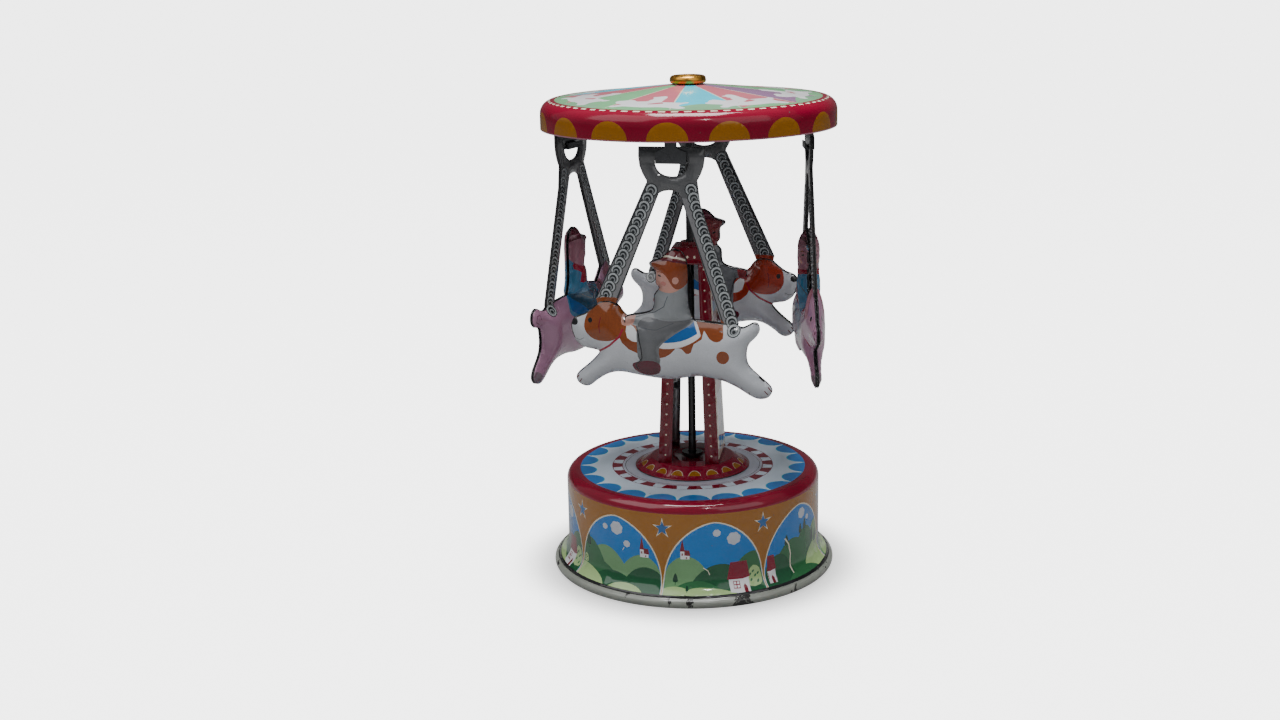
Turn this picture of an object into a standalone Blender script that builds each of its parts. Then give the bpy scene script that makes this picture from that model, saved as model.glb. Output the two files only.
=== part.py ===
"""Tin wind-up carousel music box, about 189 mm tall.

A round tin base holds a spring-driven musical movement. The movement turns a vertical shaft, which
carries a canopy, and four pressed-tin animals with riders hang from hooks under the canopy.
The base rests on z = 0, the shaft is the Z axis, and the front animal hangs towards -Y.
"""
import math

import bmesh
import bpy
from mathutils import Vector
from mathutils.geometry import delaunay_2d_cdt

MM = 0.001
GAP = 0.3                      # running clearance round the shaft and under the pins, mm
SEAT = 0.05                    # gap between two pieces that sit on each other, mm
TURN_STEPS = 40                # facets round the large turned pieces
SMALL_STEPS = 16               # facets round shafts and bushes
BORE_STEPS = 12                # facets round screws and the bores of flat pieces

# Base drum, mm
DRUM_RADIUS = 49.0
DRUM_TOP = 38.9
FLANGE_RADIUS = 53.0
RIM_RADIUS = 54.7
SHEET = 0.7                    # thickness of the drum's tin
KEY_HOLE_RADIUS = 3.4
BOARD = 1.6                    # thickness of the bottom plate
SOUND_HOLES = 6
SOUND_HOLE_RADIUS = 2.2
SOUND_HOLE_RING = 30.0

# Tower, mm
FOOT_TOP = 42.8
TOWER_LOW = FOOT_TOP + SEAT
TOWER_HIGH = 119.6
TOWER_HALF_LOW = 11.7
TOWER_HALF_HIGH = 8.3
STRIP_LOW = 5.2
STRIP_HIGH = 4.2
TOWER_SHEET = 0.6

# Shaft and canopy, mm
SHAFT_RADIUS = 1.45
BORE_RADIUS = SHAFT_RADIUS + GAP
CANOPY_RADIUS = 55.0
CANOPY_SHEET = 0.6
CANOPY_LOW = 170.6
CANOPY_HIGH = 186.3
SPIDER_LOW = 176.4
SPIDER_HIGH = 177.2

# Hanging swings, mm and degrees
HOOK_RING_RADIUS = 44.7        # distance of the hanger plates from the shaft
PIVOT_HEIGHT = 163.4
HALF_PLATE = 0.6               # from the mid plane to a hanger plate's face
SWING_SHEET = 0.45
BULGE = 4.2                    # how far the pressed bodies stand out from the hanger's face
BULGE_REACH = 9.0              # distance from an outline at which the bulge is full
RELIEF_GRID = 4.8
GRID_MARGIN = 1.8              # no grid point lies nearer than this to an outline
HOOK_HALF_WIDTH = 5.5
NECK_HALF_WIDTH = 2.15
HOOK_SHEET = 0.6
STATIONS = [                   # name, angle round the shaft, twist of the hook, animal
    ("front", 0.0, 6.5, "dog"),
    ("right", 90.0, -9.0, "pig"),
    ("rear", 180.0, 5.0, "dog"),
    ("left", 270.0, 17.0, "pig"),
]

# Movement, mm: gears of module 1, all arbors but the shaft's along Y
MODULE = 1.0
ADDENDUM = 0.8                 # tooth height above and below the pitch circle, in modules
DEDENDUM = 1.15
ARBOR_HEIGHT = 21.0
PINION_TEETH = 8
CROWN_TEETH = 24
GREAT_TEETH = 26
CYLINDER_TEETH = 14
GOVERNOR_TEETH = 8
GEAR_PLANE = 20.6              # front face of the spur gears
GEAR_WIDTH = 2.3
CYLINDER_X = -MODULE * (GREAT_TEETH + CYLINDER_TEETH) / 2
GOVERNOR_ANGLE = 120.0         # direction of the governor from the cylinder, degrees from +X
CYLINDER_RADIUS = 5.6
PIN_HEIGHT = 0.6
PIN_INSET = 1.15               # from the edge of a grid square to the pin that rises from it
COMB_TEETH = 18
COMB_HALF_LENGTH = 18.0
REAR_PLATE_Y = 29.0

# Outlines of the pressed swings: along the swing from head (-) to tail (+), and height, mm
HANGER = [(-11.8, 168.1), (-11.8, 163.2), (-10.8, 159.4), (-9.0, 156.2), (-9.2, 154.6), (-4.9, 151.7),
          (-3.2, 152.6), (-1.0, 153.0), (1.4, 152.8), (2.8, 152.1), (9.3, 152.5), (9.0, 156.2),
          (10.6, 159.3), (11.6, 163.2), (11.8, 168.1)]
WINDOW = [(-6.1, 163.4), (-6.1, 161.6), (-4.6, 159.1), (-1.6, 157.9), (1.6, 157.9), (4.6, 159.1),
          (6.1, 161.6), (6.1, 163.4)]
HEAD_ARM = [(-9.2, 155.5), (-28.6, 113.6), (-27.5, 109.5), (-22.3, 109.5), (-4.9, 151.7), (-4.0, 156.0)]
TAIL_ARM = [(9.0, 156.5), (10.0, 148.2), (23.5, 106.2), (22.0, 103.0), (18.5, 103.0), (2.8, 152.1),
            (3.5, 156.0)]
RIDER = [(6.8, 106.4), (5.3, 111.5), (5.1, 118.1), (5.2, 125.1), (4.0, 130.6), (1.0, 132.5), (-2.1, 131.2),
         (-8.3, 127.7), (-6.5, 124.5), (-6.4, 120.2), (-6.9, 116.6), (-7.1, 111.0), (-10.2, 109.1),
         (-14.9, 108.4), (-17.6, 107.6), (-17.2, 105.0), (-12.6, 104.6), (-12.0, 99.5), (-10.5, 93.3),
         (-13.4, 90.6), (-12.2, 88.3), (-8.0, 87.7), (-5.4, 89.4), (-5.2, 97.7), (0.6, 102.6)]
DOG = [(-37.4, 105.6), (-38.0, 102.4), (-36.6, 97.8), (-33.0, 95.1), (-28.0, 94.4), (-31.7, 89.7),
       (-36.4, 85.2), (-36.0, 82.1), (-33.3, 80.7), (-29.3, 82.9), (-24.4, 86.1), (-19.6, 86.9),
       (-12.2, 85.9), (-3.9, 85.1), (8.0, 86.7), (18.3, 85.2), (23.4, 83.2), (28.5, 80.1), (32.0, 79.3),
       (35.1, 80.7), (35.6, 83.3), (31.0, 87.7), (26.5, 91.6), (26.5, 97.7), (30.6, 103.0), (31.0, 105.5),
       (29.0, 107.2), (25.1, 105.0), (18.0, 106.4), (6.8, 107.2), (-8.0, 107.6), (-17.5, 107.6),
       (-19.1, 109.5), (-22.7, 112.2), (-27.9, 112.2), (-29.8, 110.1), (-32.8, 107.9)]
PIG = [(-34.4, 106.2), (-36.0, 103.4), (-39.0, 101.8), (-39.6, 97.8), (-36.0, 96.2), (-32.5, 94.0),
       (-28.0, 92.5), (-31.0, 88.5), (-36.0, 84.2), (-35.4, 80.8), (-31.8, 79.6), (-27.4, 82.6),
       (-22.5, 85.6), (-17.0, 85.2), (-8.0, 83.8), (2.0, 83.8), (10.0, 85.0), (17.5, 84.6), (23.0, 82.2),
       (27.5, 78.8), (31.5, 77.8), (34.8, 79.4), (35.0, 82.4), (31.0, 87.0), (28.0, 91.5), (28.0, 98.0),
       (32.0, 99.6), (34.4, 103.0), (32.4, 106.4), (28.6, 106.2), (25.0, 104.6), (18.0, 106.6),
       (6.8, 107.2), (-8.0, 107.6), (-17.5, 108.0), (-20.0, 110.4), (-23.0, 112.8), (-28.2, 112.8),
       (-31.6, 109.6)]
ANIMALS = {"dog": DOG, "pig": PIG}

# Materials: colour, roughness, metallic
MATERIALS = {
    "red_tin": ((0.45, 0.02, 0.04), 0.25, 0.0),
    "printed_tin": ((0.75, 0.45, 0.12), 0.25, 0.0),
    "cream_tin": ((0.85, 0.82, 0.72), 0.3, 0.0),
    "white_tin": ((0.85, 0.84, 0.82), 0.25, 0.0),
    "pink_tin": ((0.75, 0.38, 0.50), 0.25, 0.0),
    "plain_tin": ((0.62, 0.62, 0.60), 0.35, 1.0),
    "black_steel": ((0.03, 0.03, 0.035), 0.3, 1.0),
    "black_board": ((0.03, 0.03, 0.03), 0.8, 0.0),
    "gold": ((0.75, 0.48, 0.12), 0.3, 1.0),
    "brass": ((0.72, 0.55, 0.25), 0.3, 1.0),
    "steel": ((0.55, 0.56, 0.58), 0.3, 1.0),
    "cast_metal": ((0.35, 0.35, 0.36), 0.5, 1.0),
}


def clear_scene():
    for old in list(bpy.data.objects):
        bpy.data.objects.remove(old, do_unlink=True)


def collection(name):
    found = bpy.data.collections.new(name)
    bpy.context.scene.collection.children.link(found)
    return found


def material(name):
    """A Principled material, made once for each name."""
    if name in bpy.data.materials:
        return bpy.data.materials[name]
    colour, roughness, metallic = MATERIALS[name]
    made = bpy.data.materials.new(name)
    made.use_nodes = True
    shader = made.node_tree.nodes["Principled BSDF"]
    shader.inputs["Base Color"].default_value = (*colour, 1.0)
    shader.inputs["Roughness"].default_value = roughness
    shader.inputs["Metallic"].default_value = metallic
    return made


def add_part(name, data, material_name):
    """An object of the music box, from a mesh or a curve."""
    part = bpy.data.objects.new(name, data)
    data.materials.append(material(material_name))
    PARTS.objects.link(part)
    return part


def add_cutter(name, data):
    cutter = bpy.data.objects.new(name, data)
    cutter.hide_render = True
    cutter.display_type = "WIRE"
    CUTTERS.objects.link(cutter)
    return cutter


def along_y(item, x=0.0, height=ARBOR_HEIGHT):
    """Lay a piece made along Z onto an arbor along Y, in mm."""
    item.rotation_euler = (-math.pi / 2, 0.0, 0.0)
    item.location = (x * MM, 0.0, height * MM)
    return item


def boolean(part, cutter, operation="DIFFERENCE"):
    modifier = part.modifiers.new(cutter.name, "BOOLEAN")
    modifier.object = cutter
    modifier.operation = operation
    modifier.solver = "EXACT"


def turned_mesh(name, profile):
    """The open or closed profile of a turned piece, as (radius, height) points in mm."""
    mesh = bpy.data.meshes.new(name)
    points = [(radius * MM, 0.0, height * MM) for radius, height in profile]
    edges = [(i, i + 1) for i in range(len(points) - 1)]
    if profile[0][0] > 0.0:
        edges.append((len(points) - 1, 0))
    mesh.from_pydata(points, edges, [])
    return mesh


def add_screw(item, steps):
    screw = item.modifiers.new("turned", "SCREW")
    screw.axis = "Z"
    screw.angle = 2 * math.pi
    screw.steps = steps
    screw.render_steps = steps
    screw.use_merge_vertices = True
    screw.merge_threshold = 1e-6
    screw.use_smooth_shade = True


def turned(name, profile, material_name, steps=TURN_STEPS):
    """A turned piece: the profile runs down its outer side and, on a ring, back up its inner side."""
    part = add_part(name, turned_mesh(name, profile), material_name)
    add_screw(part, steps)
    return part


def turned_cutter(name, profile, steps=SMALL_STEPS):
    cutter = add_cutter(name, turned_mesh(name, profile))
    add_screw(cutter, steps)
    return cutter


def rod(name, radius, low, high, material_name, steps=SMALL_STEPS):
    return turned(name, [(0.0, high), (radius, high), (radius, low), (0.0, low)], material_name, steps)


def rod_cutter(name, radius, low, high):
    return turned_cutter(name, [(0.0, high), (radius, high), (radius, low), (0.0, low)])


def ring(name, inner, outer, low, high, material_name, steps=SMALL_STEPS):
    return turned(name, [(outer, high), (outer, low), (inner, low), (inner, high)], material_name, steps)


def box_mesh(name, low, high):
    """A box between two corners in mm."""
    mesh = bpy.data.meshes.new(name)
    work = bmesh.new()
    bmesh.ops.create_cube(work, size=1.0)
    size = [(b - a) * MM for a, b in zip(low, high)]
    centre = [(a + b) / 2 * MM for a, b in zip(low, high)]
    bmesh.ops.scale(work, vec=size, verts=work.verts)
    bmesh.ops.translate(work, vec=centre, verts=work.verts)
    work.to_mesh(mesh)
    work.free()
    return mesh


def box(name, low, high, material_name):
    return add_part(name, box_mesh(name, low, high), material_name)


def outline_curve(name, outlines, thickness):
    """A filled flat outline, with any further outlines as holes, in mm, centred on its thickness."""
    curve = bpy.data.curves.new(name, "CURVE")
    curve.dimensions = "2D"
    curve.fill_mode = "BOTH"
    curve.extrude = thickness / 2 * MM
    for outline in outlines:
        spline = curve.splines.new("POLY")
        spline.points.add(len(outline) - 1)
        for point, (x, y) in zip(spline.points, outline):
            point.co = (x * MM, y * MM, 0.0, 1.0)
        spline.use_cyclic_u = True
    return curve


def turned_about(point, angle):
    """The point (x, y) turned about the origin by an angle in radians."""
    x, y = point
    return x * math.cos(angle) - y * math.sin(angle), x * math.sin(angle) + y * math.cos(angle)


def circle(radius, count, x=0.0, y=0.0):
    angles = [2 * math.pi * i / count for i in range(count)]
    return [(x + radius * math.cos(angle), y + radius * math.sin(angle)) for angle in angles]


def mesh_from_curve(part):
    """Replace a curve object by a mesh object whose caps are welded on, so that it can be cut or joined."""
    bpy.context.view_layer.update()
    evaluated = part.evaluated_get(bpy.context.evaluated_depsgraph_get())
    mesh = bpy.data.meshes.new_from_object(evaluated)
    work = bmesh.new()
    work.from_mesh(mesh)
    bmesh.ops.remove_doubles(work, verts=work.verts, dist=1e-6)
    work.to_mesh(mesh)
    work.free()
    name = part.name
    material_name = part.data.materials[0].name
    matrix = part.matrix_world.copy()
    bpy.data.objects.remove(part, do_unlink=True)
    mesh.materials.clear()
    made = add_part(name, mesh, material_name)
    made.matrix_world = matrix
    return made


def loft(name, low_section, high_section, low, high, material_name):
    """A closed piece between two sections with the same number of corners, in mm."""
    work = bmesh.new()
    count = len(low_section)
    lower = [work.verts.new((x * MM, y * MM, low * MM)) for x, y in low_section]
    upper = [work.verts.new((x * MM, y * MM, high * MM)) for x, y in high_section]
    for i in range(count):
        j = (i + 1) % count
        work.faces.new((lower[i], lower[j], upper[j], upper[i]))
    work.faces.new(upper)
    work.faces.new(lower[::-1])
    bmesh.ops.recalc_face_normals(work, faces=work.faces)
    mesh = bpy.data.meshes.new(name)
    work.to_mesh(mesh)
    work.free()
    return add_part(name, mesh, material_name)


# ---------------------------------------------------------------- base

def make_base():
    drum_profile = [
        (3.2, DRUM_TOP), (45.2, DRUM_TOP), (47.3, DRUM_TOP - 0.45), (48.6, DRUM_TOP - 1.6),
        (DRUM_RADIUS, DRUM_TOP - 3.4), (DRUM_RADIUS, 10.0), (49.6, 7.6), (51.0, 5.6),
        (FLANGE_RADIUS, 4.7), (FLANGE_RADIUS, 4.0), (50.7, 4.9), (49.0, 7.1),
        (DRUM_RADIUS - SHEET, 10.0), (DRUM_RADIUS - SHEET, DRUM_TOP - 3.5), (47.9, DRUM_TOP - 2.1),
        (46.9, DRUM_TOP - 1.15), (45.1, DRUM_TOP - SHEET), (3.2, DRUM_TOP - SHEET)]
    drum = turned("base_drum", drum_profile, "printed_tin")
    boolean(drum, along_y(rod_cutter("key_hole_cutter", KEY_HOLE_RADIUS, 46.0, 52.0)))

    turned("base_rim", [
        (53.4, 4.5), (54.3, 4.2), (RIM_RADIUS, 3.4), (RIM_RADIUS, 1.9), (54.3, 1.1), (53.6, 0.8),
        (52.6, 0.8), (52.6, 1.3), (53.4, 1.5)], "plain_tin")

    plate = turned("bottom_plate", [
        (0.0, BOARD), (51.0, BOARD), (51.4, 4.0 - SEAT), (53.1, 4.0 - SEAT), (53.1, 1.7), (52.3, BOARD),
        (52.3, 0.0), (0.0, 0.0)], "black_board")
    for i in range(SOUND_HOLES):
        x, y = turned_about((SOUND_HOLE_RING * MM, 0.0), 2 * math.pi * (i + 0.5) / SOUND_HOLES)
        cutter = rod_cutter(f"sound_hole_cutter_{i + 1}", SOUND_HOLE_RADIUS, -1.0, BOARD + 1.0)
        cutter.location = (x, y, 0.0)
        boolean(plate, cutter)


def make_tower():
    turned("tower_foot", [
        (2.9, FOOT_TOP), (15.6, FOOT_TOP), (17.6, 42.4), (20.2, 40.9), (21.2, 39.9), (22.2, 39.6),
        (22.2, DRUM_TOP + SEAT), (20.8, DRUM_TOP + SEAT), (19.6, 40.1), (17.3, 41.7),
        (15.5, FOOT_TOP - SHEET), (2.9, FOOT_TOP - SHEET)], "red_tin", 32)
    for name, side in (("tower_left", -1), ("tower_right", 1)):
        sections = []
        for half, strip in ((TOWER_HALF_LOW, STRIP_LOW), (TOWER_HALF_HIGH, STRIP_HIGH)):
            lip = half - strip
            wall = half - TOWER_SHEET
            corners = [(lip, -half), (half, -half), (half, half), (lip, half),
                       (lip, wall), (wall, wall), (wall, -wall), (lip, -wall)]
            sections.append([(side * x, y) for x, y in corners])
        loft(name, *sections, TOWER_LOW, TOWER_HIGH, "red_tin")
    cap_low = TOWER_HIGH + SEAT
    cap_high = 125.9
    cap_half_high = 6.3
    cap = loft("tower_cap", square(TOWER_HALF_HIGH), square(cap_half_high), cap_low, cap_high, "red_tin")
    hollow = loft("tower_cap_hollow_cutter", square(TOWER_HALF_HIGH - 0.5), square(cap_half_high - 0.7),
                  cap_low - 0.4, cap_high - 0.8, "red_tin")
    move_to_cutters(hollow)
    boolean(cap, hollow)
    boolean(cap, rod_cutter("tower_cap_bore_cutter", 2.7, 120.0, 130.0))
    turned("upper_bush", [(3.6, 127.2), (3.6, cap_high + SEAT), (2.4, cap_high + SEAT), (2.4, 123.8),
                          (BORE_RADIUS, 123.8), (BORE_RADIUS, 127.2)], "brass", SMALL_STEPS)
    turned("lower_bush", [(4.0, 44.2), (4.0, TOWER_LOW), (2.6, TOWER_LOW), (2.6, 41.0), (BORE_RADIUS, 41.0),
                          (BORE_RADIUS, 44.2)], "black_steel", SMALL_STEPS)


def square(half):
    return [(-half, -half), (half, -half), (half, half), (-half, half)]


def move_to_cutters(item):
    PARTS.objects.unlink(item)
    CUTTERS.objects.link(item)
    item.hide_render = True
    item.display_type = "WIRE"


# ---------------------------------------------------------------- movement

def gear_outline(teeth, phase=0.0, thickness=0.40):
    """A gear's outline in mm. thickness is the tooth's share of the pitch at the pitch circle, and phase
    is the direction of the middle of one tooth, in degrees from +X."""
    pitch_radius = MODULE * teeth / 2
    root = pitch_radius - DEDENDUM * MODULE
    tip = pitch_radius + ADDENDUM * MODULE
    root_flare, tip_taper = 0.10, 0.09
    step = 2 * math.pi / teeth
    outline = []
    for i in range(teeth):
        middle = math.radians(phase) + i * step
        half_root = step * (thickness / 2 + root_flare)
        half_tip = step * (thickness / 2 - tip_taper)
        for radius, offset in ((root, -half_root), (tip, -half_tip), (tip, half_tip), (root, half_root)):
            outline.append((radius * math.cos(middle + offset), radius * math.sin(middle + offset)))
    return outline


def spur_gear(name, teeth, bore, material_name, phase=0.0):
    """A spur gear on the Z axis, later laid along Y where its arbor is."""
    outlines = [gear_outline(teeth, phase), circle(bore, BORE_STEPS)]
    return add_part(name, outline_curve(name, outlines, GEAR_WIDTH), material_name)


def place_on_arbor(item, x, y, height):
    item.rotation_euler = (-math.pi / 2, 0.0, 0.0)
    item.location = (x * MM, y * MM, height * MM)


def crown_wheel():
    """A ring whose front face carries radial teeth, which drive the pinion on the upright shaft."""
    steps = 2 * CROWN_TEETH
    half_face, ring_depth, tooth_height, tip_share = 1.3, 1.85, 1.95, 0.5
    pitch_radius = MODULE * CROWN_TEETH / 2
    inner, outer = pitch_radius - half_face, pitch_radius + half_face
    face_y = MODULE * (PINION_TEETH / 2 + DEDENDUM)
    back_y = face_y + ring_depth
    work = bmesh.new()
    rings = []
    for radius, y in ((inner, face_y), (outer, face_y), (outer, back_y), (inner, back_y)):
        corners = []
        for i in range(steps):
            z, x = turned_about((radius * MM, 0.0), 2 * math.pi * (i + 0.5) / steps)
            corners.append(work.verts.new((x, y * MM, z)))
        rings.append(corners)
    front_faces = []
    for a in range(4):
        b = (a + 1) % 4
        for i in range(steps):
            j = (i + 1) % steps
            face = work.faces.new((rings[a][i], rings[a][j], rings[b][j], rings[b][i]))
            if a == 0:
                front_faces.append(face)
    bmesh.ops.recalc_face_normals(work, faces=work.faces)
    teeth = bmesh.ops.extrude_discrete_faces(work, faces=front_faces[0::2])["faces"]
    for tooth in teeth:
        middle = tooth.calc_center_median()
        radial = Vector((middle.x, 0.0, middle.z)).normalized()
        for vert in tooth.verts:
            offset = vert.co - middle
            along = radial * offset.dot(radial)
            across = (offset - along) * tip_share
            vert.co = middle + along + across + Vector((0.0, -tooth_height * MM, 0.0))
    mesh = bpy.data.meshes.new("crown_wheel")
    work.to_mesh(mesh)
    work.free()
    wheel = add_part("crown_wheel", mesh, "brass")
    wheel.location = (0.0, 0.0, ARBOR_HEIGHT * MM)
    return wheel


def mainspring():
    """The spring strip, coiled inside the barrel."""
    inner, outer, turns, front, width, strip = 3.2, 9.4, 3.0, 9.2, 9.0, 0.4
    count = int(turns * 14)
    work = bmesh.new()
    rows = []
    for i in range(count + 1):
        angle = 2 * math.pi * turns * i / count
        radius = inner + (outer - inner) * i / count
        x, z = radius * math.cos(angle) * MM, radius * math.sin(angle) * MM
        rows.append([work.verts.new((x, y * MM, z)) for y in (front, front + width)])
    for first, second in zip(rows, rows[1:]):
        work.faces.new((first[0], second[0], second[1], first[1]))
    mesh = bpy.data.meshes.new("mainspring")
    work.to_mesh(mesh)
    work.free()
    spring = add_part("mainspring", mesh, "steel")
    spring.location = (0.0, 0.0, ARBOR_HEIGHT * MM)
    solid = spring.modifiers.new("strip", "SOLIDIFY")
    solid.thickness = strip * MM
    solid.offset = 0.0


def make_barrel():
    along_y(turned("spring_barrel", [
        (10.7, 20.0), (10.7, 8.6), (13.3, 8.6), (13.3, 7.3), (2.3, 7.3), (2.3, 8.5), (10.0, 8.5),
        (10.0, 20.0)], "brass", 24))
    crown_wheel()
    mainspring()
    wheel = spur_gear("great_wheel", GREAT_TEETH, 2.3, "brass", 180.0)
    place_on_arbor(wheel, 0.0, GEAR_PLANE + GEAR_WIDTH / 2, ARBOR_HEIGHT)


def make_key():
    along_y(rod("key_arbor", 2.0, 6.3, 50.0, "steel"))
    ratchet = [(r * math.cos(a), r * math.sin(a)) for r, a in ratchet_points(12, 4.6, 5.6)]
    outlines = [ratchet, circle(2.3, BORE_STEPS)]
    wheel = add_part("ratchet_wheel", outline_curve("ratchet_wheel", outlines, 1.6), "steel")
    place_on_arbor(wheel, 0.0, 26.0, ARBOR_HEIGHT)
    wing = [(-2.4, 55.0), (-5.0, 54.2), (-8.6, 54.6), (-11.0, 57.4), (-11.2, 61.0), (-9.0, 64.2),
            (-5.4, 65.4), (-2.2, 64.0), (0.0, 62.2)]
    wings = wing + [(-x, y) for x, y in wing[-2::-1]]
    holes = [circle(2.4, 10, side * 6.8, 60.0) for side in (-1, 1)]
    key = add_part("winding_key", outline_curve("winding_key", [wings] + holes, 1.3), "plain_tin")
    key.location = (0.0, 0.0, ARBOR_HEIGHT * MM)
    key = mesh_from_curve(key)
    stem = along_y(rod_cutter("key_stem_joiner", 2.7, 50.4, 58.0))
    boolean(key, stem, "UNION")
    along_y(turned("key_bush", [
        (4.6, 50.1), (4.6, 49.3), (3.1, 49.3), (3.1, 47.4), (2.35, 47.4), (2.35, 50.1)],
        "brass", SMALL_STEPS))


def ratchet_points(teeth, root, tip):
    """Saw teeth as (radius, angle) pairs."""
    step = 2 * math.pi / teeth
    points = []
    for i in range(teeth):
        points.append((tip, i * step))
        points.append((root, i * step + 0.12 * step))
    return points


def music_cylinder():
    """The cylinder, with its pins raised from a grid on the surface."""
    around, rows, front, back = 12, 9, -17.5, 19.5
    work = bmesh.new()
    grid = []
    for j in range(rows + 1):
        y = front + (back - front) * j / rows
        grid.append([work.verts.new((CYLINDER_RADIUS * MM * math.cos(2 * math.pi * i / around), y * MM,
                                     CYLINDER_RADIUS * MM * math.sin(2 * math.pi * i / around)))
                     for i in range(around)])
    sides = []
    for j in range(rows):
        for i in range(around):
            k = (i + 1) % around
            sides.append(work.faces.new((grid[j][i], grid[j + 1][i], grid[j + 1][k], grid[j][k])))
    work.faces.new(grid[0])
    work.faces.new(grid[-1][::-1])
    bmesh.ops.recalc_face_normals(work, faces=work.faces)
    chosen = [face for n, face in enumerate(sides) if (n * 7 + n // around) % 5 == 0]
    bmesh.ops.inset_individual(work, faces=chosen, thickness=PIN_INSET * MM)
    for face in chosen:
        outward = face.normal.copy()
        pin = bmesh.ops.extrude_discrete_faces(work, faces=[face])["faces"][0]
        bmesh.ops.translate(work, vec=outward * PIN_HEIGHT * MM, verts=pin.verts)
    mesh = bpy.data.meshes.new("music_cylinder")
    work.to_mesh(mesh)
    work.free()
    part = add_part("music_cylinder", mesh, "brass")
    part.location = (CYLINDER_X * MM, 0.0, ARBOR_HEIGHT * MM)
    bore = along_y(rod_cutter("cylinder_bore_cutter", 1.5, -20.0, 22.0), CYLINDER_X)
    boolean(part, bore)


def make_cylinder_train():
    music_cylinder()
    along_y(rod("cylinder_arbor", 1.2, -23.0, 31.2, "steel"), CYLINDER_X)
    half_tooth = 180.0 / CYLINDER_TEETH
    gear = spur_gear("cylinder_gear", CYLINDER_TEETH, 1.5, "brass", half_tooth)
    place_on_arbor(gear, CYLINDER_X, GEAR_PLANE + GEAR_WIDTH / 2, ARBOR_HEIGHT)


def governor_place():
    distance = MODULE * (CYLINDER_TEETH + GOVERNOR_TEETH) / 2
    angle = math.radians(GOVERNOR_ANGLE)
    return CYLINDER_X + distance * math.cos(angle), ARBOR_HEIGHT + distance * math.sin(angle)


def make_governor():
    x, height = governor_place()
    # The cylinder gear's tooth nearest the governor, seen in the gears' own turned plane.
    direction = -GOVERNOR_ANGLE
    step_followed = 360.0 / CYLINDER_TEETH
    offset = (direction - 180.0 / CYLINDER_TEETH) % step_followed
    phase = direction + 180.0 + 180.0 / GOVERNOR_TEETH + offset * CYLINDER_TEETH / GOVERNOR_TEETH
    pinion = spur_gear("governor_pinion", GOVERNOR_TEETH, 1.3, "steel", phase)
    place_on_arbor(pinion, x, GEAR_PLANE + GEAR_WIDTH / 2, height)
    along_y(rod("governor_arbor", 1.0, 19.6, 31.2, "steel"), x, height)
    half, reach, hub = 0.4, 5.5, 2.2
    blade = [(hub, -half), (reach, -half), (reach, half), (hub, half)]
    outline = []
    for turn in range(4):
        outline += [turned_about(corner, math.pi / 2 * turn) for corner in blade]
    fan = add_part("governor_fan", outline_curve("governor_fan", [outline, circle(1.3, 8)], 3.6), "steel")
    place_on_arbor(fan, x, 26.2, height)


def make_movement_frame():
    bed = [(-43.0, -16.0), (-36.0, -25.0), (6.0, -25.0), (13.0, -16.0), (13.0, 31.5), (-36.0, 31.5),
           (-43.0, 22.0)]
    bedplate = add_part("bedplate", outline_curve("bedplate", [bed], 1.6), "cast_metal")
    bedplate.location = (0.0, 0.0, 5.2 * MM)
    for i, (x, y) in enumerate(((-38.0, 0.0), (0.0, -18.0), (0.0, 24.0))):
        spacer = ring(f"bed_spacer_{i + 1}", 1.6, 3.2, 1.9, 4.1, "black_board")
        spacer.location = (x * MM, y * MM, 0.0)
    governor_x, governor_height = governor_place()
    plate = box("rear_plate", (-36.0, REAR_PLATE_Y, 6.3), (12.0, REAR_PLATE_Y + 1.5, 36.5), "cast_metal")
    bores = [("key", 2.3, 0.0, ARBOR_HEIGHT), ("cylinder", 1.5, CYLINDER_X, ARBOR_HEIGHT),
             ("governor", 1.3, governor_x, governor_height)]
    for name, radius, x, height in bores:
        cutter = rod_cutter(f"rear_{name}_bore_cutter", radius, REAR_PLATE_Y - 1.0, REAR_PLATE_Y + 3.0)
        boolean(plate, along_y(cutter, x, height))
    bearing = box("front_bearing", (CYLINDER_X - 6.0, -22.4, 6.3), (CYLINDER_X + 6.0, -20.9, 27.0),
                  "cast_metal")
    boolean(bearing, along_y(rod_cutter("front_bore_cutter", 1.5, -24.0, -20.0), CYLINDER_X))
    ring("footstep_bearing", BORE_RADIUS, 2.85, 6.3, 10.0, "brass")
    click = [(-3.6, 28.0), (-1.4, 27.2), (2.6, 31.6), (2.6, 34.6), (-0.6, 34.6)]
    pawl = add_part("click", outline_curve("click", [[(x, -z) for x, z in click]], 1.6), "steel")
    place_on_arbor(pawl, 0.0, 26.0, 0.0)


def make_comb():
    tip = CYLINDER_X - CYLINDER_RADIUS - 1.0
    back, root = -41.0, -33.0
    pitch = 2 * COMB_HALF_LENGTH / COMB_TEETH
    outline = [(back, -COMB_HALF_LENGTH), (back, COMB_HALF_LENGTH)]
    for i in reversed(range(COMB_TEETH)):
        low = -COMB_HALF_LENGTH + i * pitch + 0.3
        high = -COMB_HALF_LENGTH + (i + 1) * pitch - 0.3
        outline += [(root, high), (tip, high), (tip, low), (root, low)]
    comb = add_part("comb", outline_curve("comb", [outline], 0.8), "steel")
    comb.location = (0.0, 0.0, (ARBOR_HEIGHT + 0.1) * MM)
    comb = mesh_from_curve(comb)
    base = box("comb_base", (-41.0, -COMB_HALF_LENGTH, 6.3), (-34.0, COMB_HALF_LENGTH, 20.4), "cast_metal")
    for i, y in enumerate((-9.0, 9.0)):
        hole = rod_cutter(f"comb_hole_cutter_{i + 1}", 1.5, 16.0, 25.0)
        hole.location = (-37.5 * MM, y * MM, 0.0)
        boolean(comb, hole)
        boolean(base, hole)
        screw = turned(f"comb_screw_{i + 1}", [
            (0.0, 23.2), (2.4, 23.2), (2.4, 21.8), (1.2, 21.8), (1.2, 16.4), (0.0, 16.4)],
            "steel", BORE_STEPS)
        screw.location = (-37.5 * MM, y * MM, 0.0)


# ---------------------------------------------------------------- carousel

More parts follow.
